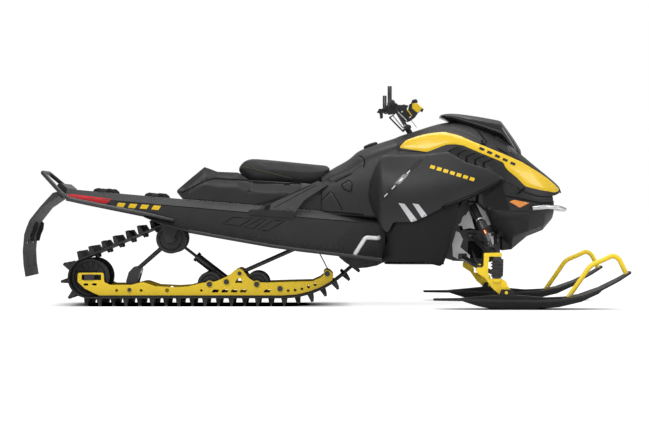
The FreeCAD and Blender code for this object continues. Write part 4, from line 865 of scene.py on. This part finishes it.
def seat_cushion():
    """Closed cushion form, filled by pressure and capped so that it keeps its place."""
    piece = cage("seat_pad", seat_stations, "seat_fabric", [(1, 1.0), (2, 0.6), (3, 1.0)],
                 [(0, 1.0), (1, 0.9), (2, 0.4), (6, 0.8), (7, 1.0)], closed=True)
    settled(piece)
    remesh = piece.modifiers.new("remesh", "REMESH")
    remesh.mode = "VOXEL"
    remesh.voxel_size = cloth_voxel * mm
    settled(piece)
    start = [v.co.copy() for v in piece.data.vertices]
    cloth = piece.modifiers.new("cloth", "CLOTH")
    cloth.settings.use_pressure = True
    cloth.settings.uniform_pressure_force = cloth_pressure
    cloth.settings.effector_weights.gravity = 0.0
    for number in range(1, cloth_frames + 1):
        scene.frame_set(number)
    settled(piece)
    scene.frame_set(1)
    cap = swell_cap * mm
    for vertex, origin in zip(piece.data.vertices, start):
        move = vertex.co - origin
        if move.length > cap:
            vertex.co = origin + move.normalized() * cap
    piece.data.polygons.foreach_set("use_smooth", [True] * len(piece.data.polygons))
    piece.data.materials.clear()
    piece.data.materials.append(finishes["seat_fabric"])
    subdivided(piece, 1)
    return piece


pad = seat_cushion()
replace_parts(pad, "seat_cushion")
seam = line([(-436, 744), (-381, 733), (-270, 706), (-159, 677)], 2.2, skin_of(pad), 0.7, 9.0)
pair("seat_seams", [seam], "seat_fabric", "thread_green")
base_skin = skin_of(nodes["seat_base"])
base_side = [
    (-722, 596), (-607, 664), (-571, 673), (-388, 664), (-340, 655), (-110, 646), (-130, 588), (-330, 540),
    (-560, 556), (-700, 566),
]
base_rest = [
    (-742, 606), (-630, 722), (-612, 722), (-568, 702), (-466, 699), (-412, 676), (-400, 668), (-568, 682),
    (-612, 674),
]
base_outlines = (base_side, base_rest)
pair("seat_base_panels", [draped(p, base_skin, 3.0, 3.0, 6.0, 11.0, edge=6.0) for p in base_outlines])
# A near-black line where the base's upper panel meets its lower side: painted shadow under the upper panel's
# edge
base_line = [(-744, 600), (-610, 668), (-569, 677), (-388, 667), (-112, 650)]
pair("seat_base_lines", [line(base_line, 5.0, base_skin, 2.4)], look="seam_and_shade_black")

# Foot wells: toothed rear edge and tread ribs

well_side = tunnel_half + 0.5
teeth = 12
tooth_low = Vector((84.0, 346.0))
tooth_high = Vector((196.0, 446.0))
tooth = (tooth_high - tooth_low) / teeth
well_outline = []
for i in range(teeth):
    x = tooth_low.x + i * tooth.x
    well_outline += [(x, tooth_low.y + i * tooth.y), (x, tooth_low.y + (i + 1) * tooth.y)]
well_outline += [
    (300, 428), (334, 386), (330, 236), (290, 216), (234, 205), (173, 201), (124, 232), (90, 260), (84, 300),
]
well_face = well_side + 4.0
tread_start = Vector((116.0, 318.0))
tread_pitch = Vector((21.0, 0.0))
low_tread = [Vector((0.0, 0.0)), Vector((15.0, 26.0))]
high_tread = [Vector((8.0, 44.0)), Vector((23.0, 70.0))]
wells = [plate(well_outline, well_side, well_face)]
for i in range(9):
    foot = tread_start + tread_pitch * i
    for tread in [low_tread, high_tread] if 2 <= i < 8 else [low_tread]:
        wells.append(plate(band([foot + p for p in tread], 5.0), well_face - 0.5, well_face + 0.8))
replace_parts(pair("foot_wells_dressed", wells, look="well_black", sharp=solid_sharp), "foot_wells")

# Tunnel markings, ribs, rivets and cargo clips

tunnel_skin = skin_of(nodes["tunnel"])
red_stripe = [(-1348, 590), (-1318, 593), (-1108, 567), (-1134, 545), (-1146, 543), (-1318, 564)]
pair("tunnel_stripe_red", [draped(red_stripe, tunnel_skin, 1.0, 0.8, 3.0, 7.0)], "tunnel_paint", "decal_red")
marks = bar_row(4, (-1086, 526), (62, -4.5), 38, 22, 14, 3.5)
pair("tunnel_bars_yellow", [draped(mark, tunnel_skin, 0.6, 0.8, 3.0, 24.0) for mark in marks], "trim_yellow")
rib_outlines = [
    [(-520, 437), (-468, 471), (-368, 464), (-436, 424)],
    [(-405, 418), (-320, 463), (-294, 461), (-362, 411)],
    [(-336, 406), (-260, 453), (-194, 453), (-284, 399)],
]
rib_lines = [line_round(rib, 3.5, tunnel_skin, 0.7, 24.0, 1.0) for rib in rib_outlines]
pair("rib_lines", rib_lines, "tunnel_paint", "seam_and_shade_black")
edge_line = [(x, tunnel_top(x) - 41.0) for x in (-1100, -700, -300, 60, 220)]
side_line = [(-1118, 541), (-1180, 530), (-1318, 558)]
tunnel_lines = [
    line(edge_line, 3.0, tunnel_skin, 0.5, 30.0, 1.0),
    line(side_line, 3.0, tunnel_skin, 1.2, 20.0, 1.0),
]
pair("tunnel_lines", tunnel_lines, "tunnel_paint", "seam_and_shade_black")

rivet_profile = [(0, 4.2), (1.2, 3.8), (2.0, 2.4), (2.3, 0.4)]
rivet_start = Vector((-737.0, tunnel_half + 0.1, 428.0))
rivet_pitch = Vector((34.0, 0.0, -5.1))
rivets = [turned(rivet_profile, rivet_start + rivet_pitch * i, (0, 1, 0), 10) for i in range(26)]
pair("tunnel_rivets", rivets, "dark_metal", sharp=60.0)

anchor_x = (-1164.0, -890.0)
clip_y = 108.0
clip_outline = [
    (-58, -2), (-50, 12), (-30, 20), (-14, 19), (-8, 9), (10, 9), (18, 21), (40, 22), (56, 10), (62, -4),
]
clips = [
    plate([(x + dx, tunnel_top(x + dx) + dz) for dx, dz in clip_outline], clip_y - 7.0, clip_y + 7.0)
    for x in anchor_x
]
pair("cargo_clips", clips, sharp=solid_sharp, bevel=2.5)

strut_skin = skin_of(nodes["seat_struts"])
strut_lines = [
    line([(-300, 532), (-60, 640)], 4.0, strut_skin, 0.6, 12.0),
    line([(-250, 522), (-30, 640)], 3.0, strut_skin, 0.6, 12.0),
]
pair("strut_lines", strut_lines, "dark_metal", "seam_and_shade_black")
strut_feet = ((-311, 517), (-181, 504))
strut_bolts = [hexagon((x, tunnel_half + 10.0, z), (0, 1, 0), 8.0, 6.0) for x, z in strut_feet]
pair("strut_bolts", strut_bolts, "dark_metal", sharp=40.0)

# Ski loops with their end screws

loop_path = [(1262, 56), (1330, 152), (1380, 226), (1436, 248), (1494, 276), (1526, 260), (1568, 172)]
loop_radius = 12.5
screw_reach = loop_radius + 2.0
for side, name in ((1, "left"), (-1, "right")):
    body = "ski_" + name + "_unit"
    path = arced([(x, side * ski_y, z) for x, z in loop_path], 34.0)
    loop = add("loop_" + name, swept(path, loop_radius, 20), "yellow_paint", body)
    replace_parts(loop, "ski_loop_" + name)
    screws = [
        rod((x, side * (ski_y - screw_reach), z), (x, side * (ski_y + screw_reach), z), 6.0, 16)
        for x, z in ((1274, 73), (1563, 183))
    ]
    add("loop_screws_" + name, joined(*screws), "bare_steel", body, "decal_silver")

# Wheels

hub = Vector((-1235.0, 126.0, 151.0))
spoke_count = 14
spokes = []
for i in range(spoke_count):
    turn = 2 * math.pi * i / spoke_count
    along = Vector((math.cos(turn), 0.0, math.sin(turn)))
    spokes.append(rod(hub + along * 34.0, hub + along * 84.0, 3.4, 8))
pair("wheel_spokes", spokes, "wheel_plastic", sharp=solid_sharp)

# Steering head: pod, cover, perches and levers

pod_yellow = [(485, 1082), (512, 1086), (540, 1059), (525, 1035), (508, 1035), (481, 1057)]
pod_cap = [(482, 1086), (488, 1103), (508, 1107), (517, 1094), (512, 1084), (488, 1080)]
pod_collar = [
    (472, 1080), (486, 1084), (482, 1057), (509, 1035), (516, 1029), (502, 1008), (477, 990), (462, 984),
    (456, 993), (484, 1013), (466, 1048),
]
pod_body = [
    (404, 1068), (440, 1078), (466, 1072), (457, 1052), (478, 1018), (462, 990), (446, 988), (410, 1038),
]
perch_outline = [
    (354, 1077), (375, 1077), (399, 1064), (440, 1062), (430, 1046), (395, 1041), (383, 1017), (366, 1013),
    (352, 1011), (340, 1023), (322, 1021), (322, 994), (308, 990), (304, 1018), (289, 1024), (301, 1039),
    (324, 1046), (340, 1057),
]
left_perch = [(356, 1082), (378, 1082), (398, 1070), (394, 1052), (362, 1046), (350, 1058)]
head_shapes = [
    plate(pod_collar, -40.0, 40.0),
    plate(pod_body, -30.0, 30.0),
    plate(pod_cap, -26.0, 26.0),
    rod((533, 0, 1052), (546, 0, 1046), 10.0),
    plate(perch_outline, -228.0, -208.0),
    swept(arced([(344, -222, 1042), (316, -256, 1036), (300, -320, 1032)], 16.0), 5.5, 12),
    plate(left_perch, 208.0, 228.0),
    swept(arced([(356, 222, 1062), (340, 256, 1057), (334, 320, 1055)], 16.0), 5.5, 12),
]
head = add("steering_head", joined(*head_shapes), "body_plastic", "steering", bevel=2.2)
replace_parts(head, "hand_controls")
add("pod_cover", plate(pod_yellow, -34.0, 34.0), "trim_yellow", "steering", bevel=4.0)
pod_band = plate(band([(458, 1050), (484, 1015)], 5.0), -42.0, 42.0)
add("pod_band", pod_band, "trim_yellow", "steering", bevel=1.0)
bright = [
    *[rod((410, y, 1036), (458, y, 988), 3.2, 12) for y in (-38, 38)],
    rod((431, -34, 1038), (431, 34, 1038), 5.0, 16),
    rod((447, -36, 960), (447, 36, 960), 8.0),
    *[rod((384, y, 1018), (440, y, 950), 2.6, 10) for y in (-20, 20)],
]
add("head_bright", joined(*bright), "bare_aluminium", "steering", "decal_silver")
links = [
    *[rod((438, y, 934), (366, y, 1008), 3.0, 12) for y in (-22, 22)],
    rod((440, -30, 938), (440, 30, 938), 7.0, 16),
    rod((468, -28, 956), (468, 28, 956), 13.0, 24),
    rod((367, -30, 1010), (367, 30, 1010), 4.0, 16),
    *[rod((372, y, 1012), (398, y, 1034), 3.0, 12) for y in (-26, 26)],
    swept(arced([(478, -20, 996), (492, -24, 978), (510, -26, 954)], 12.0), 1.6, 8),
]
add("post_links", joined(*links), "dark_metal", "steering")

# Front suspension: castings, a painted shade sheet behind them, damper sleeves and knuckle fins

frame_side = 124.2
casting_outlines = [
    [(815, 552), (928, 453), (896, 428), (867, 428), (856, 474), (827, 517)],
    [(782, 508), (796, 474), (809, 428), (815, 407), (792, 413), (752, 405), (745, 425), (722, 428),
     (740, 442), (750, 474), (769, 486)],
    [(714, 398), (734, 390), (752, 352), (737, 312), (789, 268), (789, 243), (769, 238), (726, 248),
     (697, 263), (694, 329)],
    [(884, 387), (928, 390), (939, 344), (905, 309), (884, 329)],
]
castings = [plate(outline, frame_side, frame_side + 5.0) for outline in casting_outlines]
# The castings take the lighter copy of cast aluminium: painted light
pair("frame_castings", castings, "cast_aluminium", "cast_painted_light", solid_sharp, bevel=2.0)
# A near-black sheet behind the castings: painted shade in the hollow of the front bay
bay_shade_outline = [
    (650, 264), (704, 250), (896, 250), (938, 268), (934, 396), (896, 462), (800, 575), (782, 575),
    (704, 462), (650, 396),
]
pair("bay_painted_shade", [plate(bay_shade_outline, 104.0, 106.0)], look="seam_and_shade_black", sharp=solid_sharp)

shock_low = Vector((884.0, 352.0, 318.0))
shock_line = Vector((791.0, 226.0, 544.7)) - shock_low


def on_shock(low, high, radius):
    """A sleeve round the front shock between two shares of its length."""
    return rod(shock_low + shock_line * low, shock_low + shock_line * high, radius, 28)


collar_feet = [0.38 + i * 0.035 for i in range(5)]
collars = [on_shock(foot, foot + 0.025, 26.5) for foot in collar_feet]
pair("shock_collars", collars, "dark_metal", sharp=solid_sharp)
pair("shock_copper", [on_shock(0.28, 0.38, 12.5)], "bare_steel", "copper", solid_sharp)
pair("shock_rods", [on_shock(0.12, 0.28, 10.6)], "engine_metal", sharp=solid_sharp)
pair("shock_rings", [on_shock(0.6, 0.625, 20.0)], "bare_steel", "decal_silver", solid_sharp)

fin_profile = [(0, 24), (1, 31), (7, 31), (8, 24)]
fin_heights = [166.0 + i * 16.0 for i in range(6)]
fins = [turned(fin_profile, (kingpin_x, kingpin_y, z), (0, 0, 1), 24) for z in fin_heights]
web = [(902, 164), (932, 172), (934, 256), (902, 264)]
fins.append(plate(web, kingpin_y - 6.0, kingpin_y + 6.0))
pair("knuckle_fins", fins, "dark_metal", sharp=solid_sharp, bevel=0.8)

# Stage, lamps and camera, in metres


def add_area(name, place, target, size, energy):
    lamp = bpy.data.lights.new(name, "AREA")
    lamp.shape = "RECTANGLE"
    lamp.size = size[0]
    lamp.size_y = size[1]
    lamp.energy = energy
    holder = placed(name, lamp)
    holder.location = place
    aim = Vector(target) - Vector(place)
    holder.rotation_euler = aim.to_track_quat("-Z", "Y").to_euler()


add_area("key", (-1.5, -4.5, 4.2), (0.0, 0.0, 0.6), (4.5, 2.0), 150.0)
add_area("top", (0.3, 0.4, 5.0), (0.0, 0.0, 0.4), (4.5, 2.0), 120.0)
add_area("front", (4.8, -2.0, 2.6), (0.6, 0.0, 0.6), (2.0, 2.0), 45.0)


def make_world():
    """A studio world: white where it is looked at, else soft and brighter from above."""
    world = bpy.data.worlds.new("studio")
    world.use_nodes = True
    tree = world.node_tree
    back = tree.nodes["Background"]
    back.inputs["Color"].default_value = (1.0, 1.0, 1.0, 1.0)
    parts = tree.nodes.new("ShaderNodeSeparateXYZ")
    wire(tree.nodes.new("ShaderNodeTexCoord"), "Generated", parts, "Vector")
    height = node_of(tree, "ShaderNodeMapRange", From_Min=-0.3, From_Max=0.7, To_Min=0.2, To_Max=0.6)
    wire(parts, "Z", height, "Value")
    blend = tree.nodes.new("ShaderNodeMix")
    blend.inputs["B"].default_value = 1.0
    wire(tree.nodes.new("ShaderNodeLightPath"), "Is Camera Ray", blend, "Factor")
    wire(height, "Result", blend, "A")
    wire(blend, "Result", back, "Strength")
    scene.world = world


def make_floor():
    """A wide pale floor that looks white, keeps the machine's real shadow and adds a painted contact shadow
    near it.
    """
    size = 60.0
    corners = [(-size, -size, 0), (size, -size, 0), (size, size, 0), (-size, size, 0)]
    mesh = bpy.data.meshes.new("floor")
    mesh.from_pydata(corners, [], [(0, 1, 2, 3)])
    made = bpy.data.materials.new("floor_white")
    made.use_nodes = True
    tree = made.node_tree
    shader = tree.nodes["Principled BSDF"]
    shader.inputs["Roughness"].default_value = 0.9
    tone = node_of(tree, "ShaderNodeTexNoise", Scale=2.0)
    wire(colours(tone, (0.86, 0.86, 0.86), (0.9, 0.9, 0.9)), "Color", shader, "Base Color")
    glow = node_of(tree, "ShaderNodeEmission", Color=(1.0, 1.0, 1.0, 1.0))
    # Ambient occlusion dims the floor's glow near the machine: a painted contact shadow on top of the real
    # one
    painted_contact_shadow = node_of(tree, "ShaderNodeAmbientOcclusion", Distance=0.16)
    wire(spread(painted_contact_shadow, "AO", -0.2, 1.62), "Result", glow, "Strength")
    blend = tree.nodes.new("ShaderNodeMixShader")
    camera_ray = spread(tree.nodes.new("ShaderNodeLightPath"), "Is Camera Ray", 0.0, 0.5)
    wire(camera_ray, "Result", blend, "Fac")
    tree.links.new(shader.outputs["BSDF"], blend.inputs[1])
    tree.links.new(glow.outputs["Emission"], blend.inputs[2])
    wire(blend, "Shader", tree.nodes["Material Output"], "Surface")
    mesh.materials.append(made)
    placed("floor", mesh)


def make_camera():
    lens = bpy.data.cameras.new("camera")
    lens.lens = camera_lens
    lens.sensor_width = sensor_width
    camera = placed("camera", lens)
    camera.location = camera_place * mm
    camera.rotation_euler = (math.radians(90.0), 0.0, 0.0)
    scene.camera = camera


make_world()
make_floor()
make_camera()
scene.view_settings.view_transform = "Standard"
